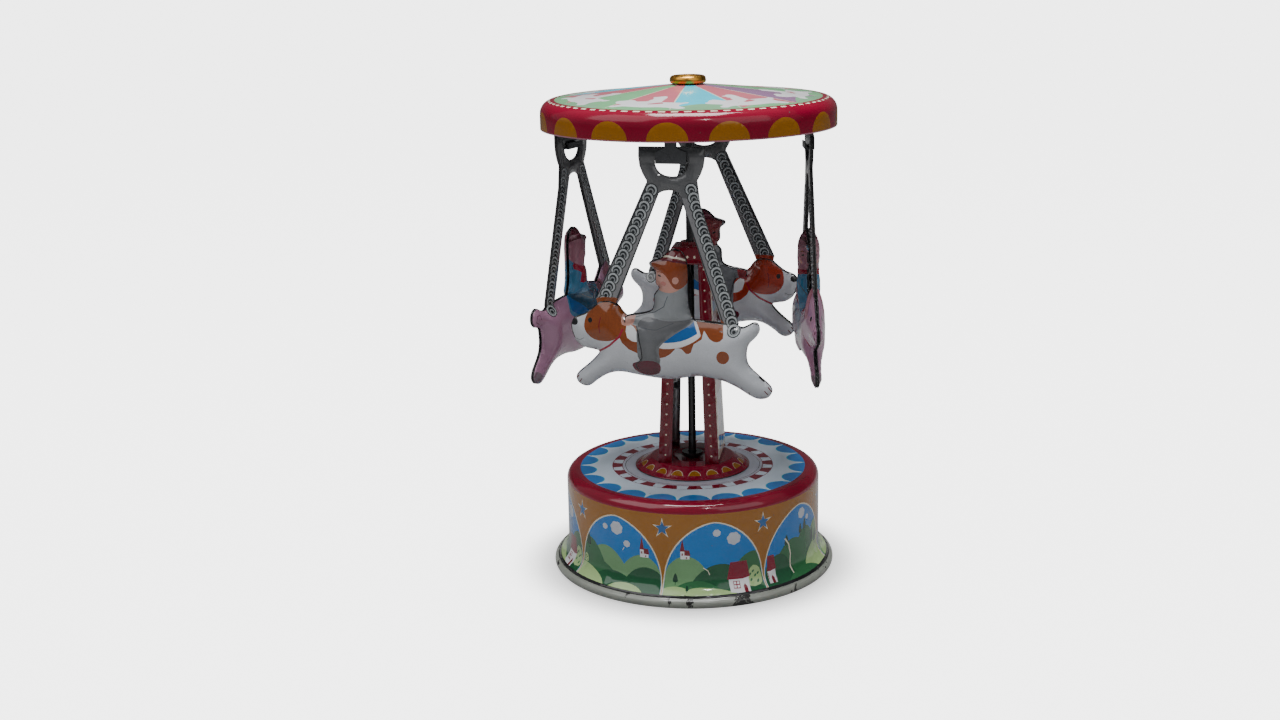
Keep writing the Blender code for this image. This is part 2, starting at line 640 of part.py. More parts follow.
def make_carousel():
    rod("shaft", SHAFT_RADIUS, 6.8, 187.0, "black_steel")
    top = ARBOR_HEIGHT + MODULE * CROWN_TEETH / 2
    outlines = [gear_outline(PINION_TEETH, 90.0), circle(BORE_RADIUS, BORE_STEPS)]
    pinion = add_part("shaft_pinion", outline_curve("shaft_pinion", outlines, 5.0), "brass")
    pinion.location = (0.0, 0.0, top * MM)
    turned("canopy", [
        (2.2, CANOPY_HIGH), (7.0, 185.7), (30.0, 183.2), (50.6, 181.0), (53.4, 180.1), (54.7, 178.4),
        (CANOPY_RADIUS, 176.2), (CANOPY_RADIUS, CANOPY_LOW), (CANOPY_RADIUS - CANOPY_SHEET, CANOPY_LOW),
        (CANOPY_RADIUS - CANOPY_SHEET, 176.1), (54.1, 178.1), (53.0, 179.6), (50.4, 180.4), (30.0, 182.6),
        (7.0, 185.1), (2.2, CANOPY_HIGH - CANOPY_SHEET)], "red_tin")
    turned("knob", [
        (0.0, 187.9), (2.6, 187.9), (4.0, 188.8), (5.2, 189.1), (6.4, 188.6), (6.8, 187.6), (6.6, 186.8),
        (5.8, 186.6), (BORE_RADIUS, 186.6), (BORE_RADIUS, 187.4), (0.0, 187.4)], "gold", 20)
    ring("canopy_collar", BORE_RADIUS, 5.0, SPIDER_HIGH + SEAT, 185.0, "plain_tin")
    ring("spider_collar", BORE_RADIUS, 4.5, 171.5, SPIDER_LOW - SEAT, "plain_tin")
    arm_half, reach = 5.0, 47.5
    quarter = [(arm_half, -reach), (arm_half, -arm_half), (reach, -arm_half)]
    cross = []
    for turn in range(4):
        cross += [turned_about(corner, math.pi / 2 * turn) for corner in quarter]
    spider = add_part("spider", outline_curve("spider", [cross, circle(BORE_RADIUS, BORE_STEPS)],
                                              SPIDER_HIGH - SPIDER_LOW), "plain_tin")
    spider.location = (0.0, 0.0, (SPIDER_LOW + SPIDER_HIGH) / 2 * MM)


def station_empty(name, angle, twist):
    """An empty on a swing's joint axis: its X axis runs from head to tail and its -Y axis outwards."""
    turn = math.radians(angle)
    empty = bpy.data.objects.new(f"swing_{name}_pivot", None)
    empty.location = (HOOK_RING_RADIUS * MM * math.sin(turn), -HOOK_RING_RADIUS * MM * math.cos(turn),
                      PIVOT_HEIGHT * MM)
    empty.rotation_euler = (0.0, 0.0, turn - math.radians(twist))
    PARTS.objects.link(empty)
    return empty


def hook(name, empty):
    """A strip that comes down outside the hanger plate, passes through its window and turns up inside."""
    outer_y, inner_y, tab_end = -1.5, 2.1, 6.0
    top = SPIDER_LOW - SEAT - PIVOT_HEIGHT
    shoulder_high, shoulder_low, floor, lip_top = 4.4, 3.0, -1.1, 1.2
    path = [(tab_end, top), (outer_y, top), (outer_y, shoulder_high), (outer_y, shoulder_low),
            (outer_y, floor), (inner_y, floor), (inner_y, lip_top)]
    half_widths = [NECK_HALF_WIDTH] * 3 + [HOOK_HALF_WIDTH] * 4
    work = bmesh.new()
    rows = []
    for (y, z), half in zip(path, half_widths):
        rows.append([work.verts.new((side * half * MM, y * MM, z * MM)) for side in (-1, 1)])
    for first, second in zip(rows, rows[1:]):
        work.faces.new((first[0], first[1], second[1], second[0]))
    mesh = bpy.data.meshes.new(name)
    work.to_mesh(mesh)
    work.free()
    part = add_part(name, mesh, "plain_tin")
    part.parent = empty
    solid = part.modifiers.new("strip", "SOLIDIFY")
    solid.thickness = HOOK_SHEET * MM
    solid.offset = 1.0
    solid.use_even_offset = True


def inside(point, polygon):
    x, y = point
    found = False
    for (ax, ay), (bx, by) in zip(polygon, polygon[1:] + polygon[:1]):
        if (ay > y) != (by > y) and x < (bx - ax) * (y - ay) / (by - ay) + ax:
            found = not found
    return found


def edge_distance(point, polygon):
    best = 1e9
    for a, b in zip(polygon, polygon[1:] + polygon[:1]):
        start, end, here = Vector(a), Vector(b), Vector(point)
        along = (here - start).dot(end - start) / (end - start).length_squared
        best = min(best, (here - start.lerp(end, min(1.0, max(0.0, along)))).length)
    return best


def relief(point, bodies):
    """How far the pressed tin stands from the mid plane at a point of the outline, mm."""
    height = HALF_PLATE
    for body in bodies:
        if inside(point, body):
            share = 1.0 - min(1.0, edge_distance(point, body) / BULGE_REACH)
            height = max(height, HALF_PLATE + BULGE * (1.0 - share * share) ** 0.9)
    return height


def counter_clockwise(polygon):
    area = sum(ax * by - bx * ay for (ax, ay), (bx, by) in zip(polygon, polygon[1:] + polygon[:1]))
    return polygon if area > 0 else polygon[::-1]


def pressed_sheet(animal):
    """Points (x, z, relief) and triangles of one pressed half, over the union of its outlines."""
    bodies = [animal, RIDER]
    outlines = [counter_clockwise(p) for p in (HANGER, HEAD_ARM, TAIL_ARM, animal, RIDER, WINDOW)]
    window = len(outlines) - 1
    points, faces = [], []
    for outline in outlines:
        faces.append(list(range(len(points), len(points) + len(outline))))
        points += [Vector(p) for p in outline]
    left, low, width, height = -37.2, 80.0, 72.0, 53.0
    for column in range(int(width / RELIEF_GRID) + 1):
        for row in range(int(height / RELIEF_GRID) + 1):
            place = (left + column * RELIEF_GRID, low + row * RELIEF_GRID)
            if any(inside(place, body) and edge_distance(place, body) > GRID_MARGIN for body in bodies):
                points.append(Vector(place))
    flat, _, triangles, _, _, owners = delaunay_2d_cdt(points, [], faces, 1, 1e-4, True)
    kept = [t for t, owner in zip(triangles, owners) if owner and window not in owner]
    raised = [(p.x, p.y, relief((p.x, p.y), bodies)) for p in flat]
    return raised, kept


def swing_half(name, empty, animal, side, material_name):
    """One pressed half of a swing; side is -1 for the half that faces outwards, 1 for the inner one."""
    raised, triangles = pressed_sheet(animal)
    work = bmesh.new()
    verts = [work.verts.new((x * MM, side * height * MM, (z - PIVOT_HEIGHT) * MM)) for x, z, height in raised]
    for triangle in triangles:
        corners = [verts[i] for i in triangle]
        work.faces.new(corners if side < 0 else corners[::-1])
    loose = [vert for vert in work.verts if not vert.link_faces]
    bmesh.ops.delete(work, geom=loose, context="VERTS")
    mesh = bpy.data.meshes.new(name)
    work.to_mesh(mesh)
    work.free()
    part = add_part(name, mesh, material_name)
    part.parent = empty
    shell = part.modifiers.new("sheet", "SOLIDIFY")
    shell.thickness = SWING_SHEET * MM
    shell.offset = -1.0


def make_swings():
    for name, angle, twist, kind in STATIONS:
        empty = station_empty(name, angle, twist)
        hook(f"hook_{name}", empty)
        colour = "white_tin" if kind == "dog" else "pink_tin"
        swing_half(f"{kind}_{name}_outer", empty, ANIMALS[kind], -1, colour)
        swing_half(f"{kind}_{name}_inner", empty, ANIMALS[kind], 1, colour)


clear_scene()
PARTS = collection("music_box")
CUTTERS = collection("cutters")
make_base()
make_tower()
make_movement_frame()
make_comb()
make_barrel()
make_key()
make_cylinder_train()
make_governor()
make_carousel()
make_swings()
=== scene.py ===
import math

import bmesh
import bpy
import numpy as np
from mathutils import Matrix, Vector
from mathutils.geometry import delaunay_2d_cdt


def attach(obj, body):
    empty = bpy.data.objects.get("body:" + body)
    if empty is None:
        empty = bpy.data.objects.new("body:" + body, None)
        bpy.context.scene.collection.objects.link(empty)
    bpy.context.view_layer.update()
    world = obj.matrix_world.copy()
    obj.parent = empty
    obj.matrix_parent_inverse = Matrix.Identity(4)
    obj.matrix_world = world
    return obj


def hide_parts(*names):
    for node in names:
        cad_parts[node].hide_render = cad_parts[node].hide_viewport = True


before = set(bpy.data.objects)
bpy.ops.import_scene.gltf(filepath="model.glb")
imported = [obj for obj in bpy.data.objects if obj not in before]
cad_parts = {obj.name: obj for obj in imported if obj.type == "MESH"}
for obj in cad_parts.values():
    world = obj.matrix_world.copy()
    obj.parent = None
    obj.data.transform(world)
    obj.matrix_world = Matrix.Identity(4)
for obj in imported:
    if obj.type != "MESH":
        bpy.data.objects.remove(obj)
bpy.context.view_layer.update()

MM = 0.001
TURN = 9.5                     # how far the toy is turned clockwise from the camera, degrees

# ---------------------------------------------------------------- colours of the printed tin
INK = {
    "red": (0.24, 0.003, 0.024),
    "dark_red": (0.19, 0.005, 0.018),
    "orange": (0.34, 0.130, 0.008),
    "sky": (0.004, 0.175, 0.54),
    "star_blue": (0.02, 0.12, 0.34),
    "scallop_blue": (0.02, 0.20, 0.58),
    "white": (0.80, 0.80, 0.82),
    "lilac": (0.56, 0.58, 0.68),
    "cloud": (0.56, 0.59, 0.66),
    "cream": (0.80, 0.74, 0.58),
    "pale_green": (0.40, 0.58, 0.24),
    "soft_green": (0.16, 0.34, 0.15),
    "mid_green": (0.03, 0.15, 0.055),
    "deep_green": (0.010, 0.095, 0.035),
    "tree_green": (0.006, 0.055, 0.025),
    "rose": (0.46, 0.17, 0.24),
    "cyan": (0.06, 0.46, 0.66),
    "mint": (0.22, 0.46, 0.26),
    "dog_white": (0.60, 0.62, 0.66),
    "dog_orange": (0.25, 0.058, 0.012),
    "dog_rust": (0.36, 0.035, 0.014),
    "saddle_blue": (0.008, 0.11, 0.36),
    "black": (0.012, 0.012, 0.014),
    "grey_cloth": (0.205, 0.215, 0.235),
    "skin": (0.60, 0.30, 0.24),
    "lip": (0.42, 0.10, 0.09),
    "hair": (0.26, 0.052, 0.012),
    "cap_red": (0.15, 0.006, 0.012),
    "shoe": (0.13, 0.012, 0.030),
    "pig_pink": (0.50, 0.25, 0.39),
    "pig_dark": (0.24, 0.08, 0.15),
    "jacket": (0.06, 0.22, 0.39),
    "jacket_dark": (0.015, 0.09, 0.17),
    "scarf": (0.34, 0.012, 0.04),
    "arm_grey": (0.13, 0.132, 0.138),
    "chain_light": (0.46, 0.49, 0.50),
    "chain_mid": (0.30, 0.32, 0.33),
    "chain_dark": (0.018, 0.022, 0.026),
    "sweater": (0.27, 0.285, 0.30),
    "breeches": (0.16, 0.165, 0.175),
    "hoof": (0.26, 0.19, 0.23),
    "field": (0.74, 0.86, 0.98),
    "arm_side": (0.25, 0.25, 0.26),
    "lip_soft": (0.56, 0.20, 0.17),
    "crease": (0.11, 0.12, 0.14),
    "mauve_skin": (0.42, 0.17, 0.23),
    "maroon": (0.16, 0.020, 0.045),
    # the rear rider's face and hair, darkened as painted shade
    "rear_head_in_shade": (0.30, 0.045, 0.055),
    "roof_pink": (0.60, 0.16, 0.20),
    "roof_green": (0.20, 0.50, 0.24),
    "roof_cyan": (0.06, 0.62, 0.82),
    "roof_violet": (0.30, 0.16, 0.30),
}


# ---------------------------------------------------------------- materials

def new_material(name):
    material = bpy.data.materials.new(name)
    material.use_nodes = True
    shader = material.node_tree.nodes["Principled BSDF"]
    return material, material.node_tree, shader


def noise(tree, scale, detail=3.0, roughness=0.5, distortion=0.0):
    coordinates = tree.nodes.new("ShaderNodeTexCoord")
    texture = tree.nodes.new("ShaderNodeTexNoise")
    texture.inputs["Scale"].default_value = scale
    texture.inputs["Detail"].default_value = detail
    texture.inputs["Roughness"].default_value = roughness
    texture.inputs["Distortion"].default_value = distortion
    tree.links.new(coordinates.outputs["Object"], texture.inputs["Vector"])
    return texture.outputs["Fac"]


def remap(tree, value, low, high, to_low, to_high, curve="LINEAR"):
    node = tree.nodes.new("ShaderNodeMapRange")
    node.interpolation_type = curve
    node.inputs["From Min"].default_value = low
    node.inputs["From Max"].default_value = high
    node.inputs["To Min"].default_value = to_low
    node.inputs["To Max"].default_value = to_high
    tree.links.new(value, node.inputs["Value"])
    return node.outputs["Result"]


def mix(tree, factor, first, second, blend="MIX"):
    """Mix two colours; each of factor, first and second is a socket or a value."""
    node = tree.nodes.new("ShaderNodeMix")
    node.data_type = "RGBA"
    node.blend_type = blend
    for index, value in ((0, factor), (6, first), (7, second)):
        if isinstance(value, bpy.types.NodeSocket):
            tree.links.new(value, node.inputs[index])
        elif index == 0:
            node.inputs[0].default_value = value
        else:
            node.inputs[index].default_value = (*value, 1.0)
    return node.outputs[2]


def grey(tree, value):
    node = tree.nodes.new("ShaderNodeCombineColor")
    for channel in ("Red", "Green", "Blue"):
        tree.links.new(value, node.inputs[channel])
    return node.outputs["Color"]


def bump(tree, shader, layers):
    """Chain bump layers of (height socket, strength, distance in metres) onto the shader's normal."""
    last = None
    for height, strength, distance in layers:
        node = tree.nodes.new("ShaderNodeBump")
        node.inputs["Strength"].default_value = strength
        node.inputs["Distance"].default_value = distance
        tree.links.new(height, node.inputs["Height"])
        if last is not None:
            tree.links.new(last, node.inputs["Normal"])
        last = node.outputs["Normal"]
    tree.links.new(last, shader.inputs["Normal"])


def printed_tin(name, wear=0.72, varnish=0.7):
    """Lithographed tinplate: ink from the sheet's own print under a clear varnish, with grain and chips."""
    material, tree, shader = new_material(name)
    ink = tree.nodes.new("ShaderNodeAttribute")
    ink.attribute_name = "print"
    cloudy = remap(tree, noise(tree, 60.0, 3.0), 0.3, 0.7, 0.93, 1.05)
    grain = remap(tree, noise(tree, 2600.0, 2.0), 0.3, 0.7, 0.95, 1.04)
    colour = mix(tree, 1.0, ink.outputs["Color"], grey(tree, cloudy), "MULTIPLY")
    colour = mix(tree, 1.0, colour, grey(tree, grain), "MULTIPLY")
    chips = remap(tree, noise(tree, 420.0, 4.0, 0.6, 0.4), wear, wear + 0.02, 0.0, 1.0)
    colour = mix(tree, chips, colour, (0.10, 0.09, 0.085))
    tree.links.new(colour, shader.inputs["Base Color"])
    smear = remap(tree, noise(tree, 140.0, 4.0, 0.6), 0.3, 0.75, 0.10, 0.20)
    tree.links.new(smear, shader.inputs["Roughness"])
    shader.inputs["Specular IOR Level"].default_value = 0.35
    shader.inputs["Coat Weight"].default_value = varnish
    shader.inputs["Coat Roughness"].default_value = 0.04
    bump(tree, shader, [(noise(tree, 75.0, 2.0), 0.25, 0.0004), (noise(tree, 1300.0, 2.0), 0.08, 0.00005)])
    return material


def metal(name, colour, roughness=0.3, stain=(0.25, 0.22, 0.18), stain_amount=0.25, scale=90.0,
          stretch=None, depth=0.00005):
    """Bare metal with dull stains, a brushed or blotchy gloss and fine scratches."""
    material, tree, shader = new_material(name)
    blotch = remap(tree, noise(tree, scale, 5.0, 0.65), 0.45, 0.75, 0.0, stain_amount)
    tree.links.new(mix(tree, blotch, colour, stain), shader.inputs["Base Color"])
    shader.inputs["Metallic"].default_value = 1.0
    gloss = remap(tree, noise(tree, scale * 4.0, 4.0, 0.6), 0.3, 0.7, roughness * 0.75, roughness * 1.35)
    tree.links.new(gloss, shader.inputs["Roughness"])
    coordinates = tree.nodes.new("ShaderNodeTexCoord")
    mapping = tree.nodes.new("ShaderNodeMapping")
    mapping.inputs["Scale"].default_value = stretch or (1.0, 1.0, 1.0)
    texture = tree.nodes.new("ShaderNodeTexNoise")
    texture.inputs["Scale"].default_value = 900.0
    tree.links.new(coordinates.outputs["Object"], mapping.inputs["Vector"])
    tree.links.new(mapping.outputs["Vector"], texture.inputs["Vector"])
    bump(tree, shader, [(texture.outputs["Fac"], 0.2, depth)])
    return material


def painted(name, colour, roughness=0.35, chip=(0.05, 0.045, 0.04), wear=0.66, scale=260.0, coat=0.3):
    """Lacquer over metal or board, with chips down to what is under it."""
    material, tree, shader = new_material(name)
    tone = remap(tree, noise(tree, 80.0, 3.0), 0.3, 0.7, 0.88, 1.08)
    base = mix(tree, 1.0, colour, grey(tree, tone), "MULTIPLY")
    chips = remap(tree, noise(tree, scale, 5.0, 0.62, 0.5), wear, wear + 0.03, 0.0, 1.0)
    tree.links.new(mix(tree, chips, base, chip), shader.inputs["Base Color"])
    gloss = remap(tree, noise(tree, 300.0, 3.0), 0.3, 0.7, roughness * 0.8, roughness * 1.25)
    tree.links.new(gloss, shader.inputs["Roughness"])
    shader.inputs["Coat Weight"].default_value = coat
    shader.inputs["Coat Roughness"].default_value = 0.1
    bump(tree, shader, [(noise(tree, 110.0, 2.0), 0.15, 0.0002), (noise(tree, 1500.0, 2.0), 0.12, 0.00004)])
    return material


PRINT = printed_tin("printed_tin")
ROOF_PRINT = printed_tin("roof_tin", 0.70, 0.15)
INSIDE = metal("tin_inside", (0.42, 0.42, 0.42), 0.32, (0.20, 0.18, 0.15), 0.5, 70.0)
CUT_EDGE = painted("tin_cut_edge", (0.008, 0.008, 0.009), 0.45, (0.03, 0.02, 0.015), 0.62, 300.0, 0.0)
PLAIN_TIN = metal("plain_tin", (0.58, 0.58, 0.58), 0.26, (0.26, 0.22, 0.18), 0.4, 120.0, (1.0, 1.0, 8.0))
RIM_TIN = painted("rim_lacquer", (0.27, 0.285, 0.25), 0.22, (0.01, 0.009, 0.008), 0.60, 130.0, 0.5)
HOOK_TIN = painted("hook_enamel", (0.075, 0.078, 0.084), 0.3, (0.2, 0.2, 0.2), 0.74, 200.0, 0.3)
BLACK_STEEL = painted("black_steel", (0.012, 0.012, 0.014), 0.22, (0.16, 0.15, 0.14), 0.72, 320.0, 0.5)
RED_PAINT = painted("red_lacquer", (0.17, 0.005, 0.016), 0.25, (0.05, 0.01, 0.01), 0.72, 260.0, 0.4)
BLACK_BOARD = painted("black_board", (0.018, 0.018, 0.020), 0.6, (0.05, 0.045, 0.04), 0.68, 200.0, 0.0)
GOLD = metal("gold_lacquer", (0.62, 0.31, 0.05), 0.30, (0.26, 0.11, 0.02), 0.4, 130.0, None, 0.00002)
BRASS = metal("brass", (0.66, 0.45, 0.16), 0.25, (0.28, 0.16, 0.05), 0.5, 150.0)
STEEL = metal("steel", (0.50, 0.51, 0.53), 0.22, (0.22, 0.20, 0.18), 0.35, 150.0, (1.0, 8.0, 1.0))
CAST = metal("cast_metal", (0.30, 0.30, 0.31), 0.5, (0.14, 0.13, 0.12), 0.6, 220.0, None, 0.0002)


# ---------------------------------------------------------------- outlines

def smooth(points, parts=3):
    """A closed Catmull-Rom curve through the points."""
    count = len(points)
    curve = []
    for i in range(count):
        before, start, end, after = (np.array(points[(i + k) % count], float) for k in (-1, 0, 1, 2))
        for step in range(parts):
            t = step / parts
            curve.append(tuple(0.5 * (2 * start + (end - before) * t
                                      + (2 * before - 5 * start + 4 * end - after) * t * t
                                      + (3 * start - before - 3 * end + after) * t * t * t)))
    return curve


def ellipse(x, y, across, high, count=14, tilt=0.0):
    turn = math.radians(tilt)
    points = []
    for i in range(count):
        angle = 2 * math.pi * i / count
        a, b = across * math.cos(angle), high * math.sin(angle)
        points.append((x + a * math.cos(turn) - b * math.sin(turn),
                       y + a * math.sin(turn) + b * math.cos(turn)))
    return points


def box(left, right, low, high):
    return [(left, low), (right, low), (right, high), (left, high)]


def stroke(points, width):
    """A line of the given width through the points, pointed at neither end."""
    line = [np.array(p, float) for p in points]
    left, right = [], []
    for i, point in enumerate(line):
        along = line[min(i + 1, len(line) - 1)] - line[max(i - 1, 0)]
        side = np.array((-along[1], along[0])) / (np.hypot(*along) + 1e-9) * width / 2
        left.append(tuple(point + side))
        right.append(tuple(point - side))
    return left + right[::-1]


def dense(polygon, step_x, step_y):
    """The polygon with points added so that no edge is longer than the steps."""
    result = []
    for (ax, ay), (bx, by) in zip(polygon, polygon[1:] + polygon[:1]):
        parts = max(1, math.ceil(abs(bx - ax) / step_x), math.ceil(abs(by - ay) / step_y))
        for i in range(parts):
            result.append((ax + (bx - ax) * i / parts, ay + (by - ay) * i / parts))
    return result


def counter_clockwise(polygon):
    area = sum(ax * by - bx * ay for (ax, ay), (bx, by) in zip(polygon, polygon[1:] + polygon[:1]))
    return polygon if area > 0 else polygon[::-1]


def inside(points, polygon):
    """Which of the points (n, 2) lie in the polygon."""
    x, y = points[:, 0], points[:, 1]
    found = np.zeros(len(points), bool)
    for (ax, ay), (bx, by) in zip(polygon, polygon[1:] + polygon[:1]):
        if ay != by:
            crosses = ((ay > y) != (by > y)) & (x < (bx - ax) * (y - ay) / (by - ay) + ax)
            found ^= crosses
    return found


def edge_distance(points, polygon):
    best = np.full(len(points), 1e9)
    for a, b in zip(polygon, polygon[1:] + polygon[:1]):
        start, run = np.array(a, float), np.array(b, float) - np.array(a, float)
        length = max(1e-12, run @ run)
        along = np.clip((points - start) @ run / length, 0.0, 1.0)
        best = np.minimum(best, np.hypot(*(points - start - along[:, None] * run).T))
    return best


# ---------------------------------------------------------------- printed sheets

def triangulate(sheets, holes, prints, free_points):
    """Cut the union of the sheets, less the holes, into triangles along every printed edge.
    Returns the points and (triangle, ink name) pairs; the last print over a place wins."""
    points, faces = [], []
    for polygon in sheets + holes + [p for p, _ in prints]:
        polygon = counter_clockwise(polygon)
        faces.append(list(range(len(points), len(points) + len(polygon))))
        points += [Vector(p) for p in polygon]
    points += [Vector(p) for p in free_points]
    flat, _, triangles, _, _, owners = delaunay_2d_cdt(points, [], faces, 1, 1e-5, True)
    first_hole, first_print = len(sheets), len(sheets) + len(holes)
    kept = []
    for triangle, owner in zip(triangles, owners):
        if any(o < first_hole for o in owner) and not any(first_hole <= o < first_print for o in owner):
            top = max(owner)
            kept.append((list(triangle), prints[top - first_print][1] if top >= first_print else None))
    return np.array([tuple(p) for p in flat]), kept


def sheet_object(name, points, kept, place, shade=None, thickness=0.35, materials=None, base="white",
                 flip=False):
    """A sheet of printed tin: place turns (n, 2) points into (n, 3) millimetres; shade multiplies the ink
    with painted shade.
    """
    used = sorted({i for triangle, _ in kept for i in triangle})
    index = {old: new for new, old in enumerate(used)}
    flat = points[used]
    solid = place(flat) * MM
    mesh = bpy.data.meshes.new(name)
    order = -1 if flip else 1
    faces = [[index[i] for i in triangle][::order] for triangle, _ in kept]
    mesh.from_pydata([tuple(p) for p in solid], [], faces)
    # painted shade for each point, which darkens the ink
    tone = np.ones(len(flat)) if shade is None else shade(flat)
    inks = mesh.color_attributes.new(name="print", type="FLOAT_COLOR", domain="CORNER")
    colours = np.ones((len(mesh.loops), 4), np.float32)
    corner = 0
    for face, (_, ink) in zip(faces, kept):
        colour = np.array(INK[ink or base])
        for vert in face:
            colours[corner, :3] = np.clip(colour * tone[vert], 0.0, 1.0)
            corner += 1
    inks.data.foreach_set("color", colours.ravel())
    work = bmesh.new()
    work.from_mesh(mesh)
    bmesh.ops.remove_doubles(work, verts=work.verts, dist=1e-7)
    flat_faces = [f for f in work.faces if f.calc_area() < 1e-14]
    bmesh.ops.delete(work, geom=flat_faces, context="FACES")
    work.to_mesh(mesh)
    work.free()
    mesh.shade_smooth()
    for material in materials or (PRINT, INSIDE, CUT_EDGE):
        mesh.materials.append(material)
    piece = bpy.data.objects.new(name, mesh)
    bpy.context.scene.collection.objects.link(piece)
    shell = piece.modifiers.new("sheet", "SOLIDIFY")
    shell.thickness = thickness * MM
    shell.offset = -1.0
    shell.material_offset = 1
    shell.material_offset_rim = 2
    return piece


def turned_place(profile_v, profile_r, profile_z):
    """Place (degrees round from the front, distance along the profile) on a surface of revolution."""
    def place(flat):
        angle = np.radians(flat[:, 0])
        radius = np.interp(flat[:, 1], profile_v, profile_r)
        height = np.interp(flat[:, 1], profile_v, profile_z)
        return np.stack((radius * np.sin(angle), -radius * np.cos(angle), height), axis=1)
    return place


def profile(points):
    """Distances, radii and heights along a profile of (radius, height) points in mm."""
    radius, height = np.array(points, float).T
    length = np.concatenate(([0.0], np.cumsum(np.hypot(np.diff(radius), np.diff(height)))))
    return length, radius, height


def arc(x, y, radius, start, end, parts):
    angles = np.radians(np.linspace(start, end, parts + 1))
    return [(x + radius * math.cos(a), y + radius * math.sin(a)) for a in angles]


def round_sheet(name, points, prints, base, shade=None, thickness=0.35, holes=(), materials=None, step=3.0):
    """A printed sheet of revolution, with its seam at the back."""
    length, radius, height = profile(points)
    sides = [(-180.0, v) for v in length[1:-1][::-1]]
    bottom = [(-180.0 + i * step, 0.0) for i in range(int(360 / step) + 1)]
    top = [(180.0 - i * step, length[-1]) for i in range(int(360 / step) + 1)]
    right = [(180.0, v) for v in length[1:-1]]
    outline = bottom + right + top + sides
    columns = np.arange(-180.0 + step, 180.0, step)
    free = [(u, v) for v in length[1:-1] for u in columns]
    prints = [(dense(polygon, step, 8.0), ink) for polygon, ink in prints]
    flat, kept = triangulate([outline], list(holes), prints, free)
    place = turned_place(length, radius, height)
    return sheet_object(name, flat, kept, place, shade, thickness, materials, base, flip=True)


def around(low, high, ink):
    """A plain band right round a sheet and just past its seam, between two distances along the profile."""
    return box(-181.0, 181.0, low, high), ink


def ride(piece, body, node):
    """Fix a piece to its body, in place of a node of the CAD model."""
    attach(piece, body)
    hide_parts(node)


def turned(name, points, material, steps=96):
    """A turned piece from a closed profile, or one that starts and ends on the axis, in mm."""
    mesh = bpy.data.meshes.new(name)
    verts = [(r * MM, 0.0, z * MM) for r, z in points]
    edges = [(i, i + 1) for i in range(len(verts) - 1)]
    if points[0][0] > 0.0:
        edges.append((len(verts) - 1, 0))
    mesh.from_pydata(verts, edges, [])
    mesh.materials.append(material)
    piece = bpy.data.objects.new(name, mesh)
    bpy.context.scene.collection.objects.link(piece)
    screw = piece.modifiers.new("turned", "SCREW")
    screw.axis = "Z"
    screw.steps = steps
    screw.render_steps = steps
    screw.use_merge_vertices = True
    screw.merge_threshold = 1e-6
    screw.use_smooth_shade = True
    return piece


# ---------------------------------------------------------------- base drum

KEY_HOLE = {"z": 21.0, "radius": 3.3}
DRUM = {"radius": 49.0, "top": 38.9, "corner": 3.7, "flare": 7.5, "flare_angle": 62.0}


def drum_profile():
    flat_edge = DRUM["radius"] - DRUM["corner"]
    corner_z = DRUM["top"] - DRUM["corner"]
    flare_z = 4.5 + DRUM["flare"] * math.sin(math.radians(DRUM["flare_angle"]))
    points = [(3.2, DRUM["top"]), (12.0, DRUM["top"]), (22.0, DRUM["top"]), (34.0, DRUM["top"])]
    points += arc(flat_edge, corner_z, DRUM["corner"], 90.0, 0.0, 7)
    points += [(DRUM["radius"], 28.0), (DRUM["radius"], 20.0)]
    centre = DRUM["radius"] + DRUM["flare"]
    points += arc(centre, flare_z, DRUM["flare"], 180.0, 180.0 + DRUM["flare_angle"], 7)
    points.append((53.0, 4.1))
    return points


DRUM_POINTS = drum_profile()
DRUM_LENGTH, DRUM_R, DRUM_Z = profile(DRUM_POINTS)


def wall(z):
    """Distance along the drum's profile at a height on its side wall."""
    side = DRUM_LENGTH > DRUM_LENGTH[4]
    return float(np.interp(-z, -DRUM_Z[side], DRUM_LENGTH[side]))


def on_top(r):
    return r - 3.2


def up_wall(points):
    return [(u, wall(z)) for u, z in points]


ARCH = {"low": 4.6, "high": 31.7, "half": 22.0, "pitch": 45.0}


def arch_half(z):
    """Half the width of an arch's opening at a height, in degrees."""
    share = min(1.0, max(0.0, (z - ARCH["low"]) / (ARCH["high"] - ARCH["low"]))) ** 2.5
    return ARCH["half"] * (1.0 - share) ** 0.62


def pillar(cusp, shrink):
    """The orange ground between two arches, narrowing to a point at the flange."""
    heights = ARCH["low"] + (ARCH["high"] - ARCH["low"]) * np.sin(np.linspace(0.0, math.pi / 2, 14))
    side = [(max(0.05, ARCH["pitch"] / 2 - arch_half(z) - shrink), z + shrink) for z in heights]
    right = [(cusp + w, z) for w, z in side]
    left = [(cusp - w, z) for w, z in side[::-1]]
    reach, crown = ARCH["pitch"] / 2 + 0.6, ARCH["high"] + shrink
    band = [(cusp + reach, crown), (cusp + reach, 35.2), (cusp - reach, 35.2), (cusp - reach, crown)]
    return right + band + left


def clip_to_arch(polygon, centre):
    """Keep a picture's outline inside its arch by pulling each point to the arch's width at that height."""
    result = []
    for x, z in polygon:
        width = arch_half(z) - 0.1
        result.append((centre + min(width, max(-width, x - centre)), z))
    return result


def hill(centre, x, half, peak, ink, lean=0.0):
    """A rounded hill: x is its middle from the arch's centre, and peak its height."""
    base = 4.3
    steps = np.linspace(-1.0, 1.0, 15)
    top = [(centre + x + half * t + lean * (1 - t * t), base + (peak - base) * (1 - t * t) ** 0.75)
           for t in steps]
    low = [(centre + x + half * t, base - 0.01) for t in steps[::-1][1:-1]]
    return clip_to_arch(top + low, centre), ink


def cloud(x, z, size):
    """Puffs of a cloud, as one bumpy outline."""
    points = []
    for i in range(28):
        angle = 2 * math.pi * i / 28
        puff = size * (1.0 + 0.16 * abs(math.sin(3.5 * angle + 0.6)))
        points.append((x + 1.2 * puff * math.cos(angle), z + 0.95 * puff * math.sin(angle)))
    return points, "cloud"


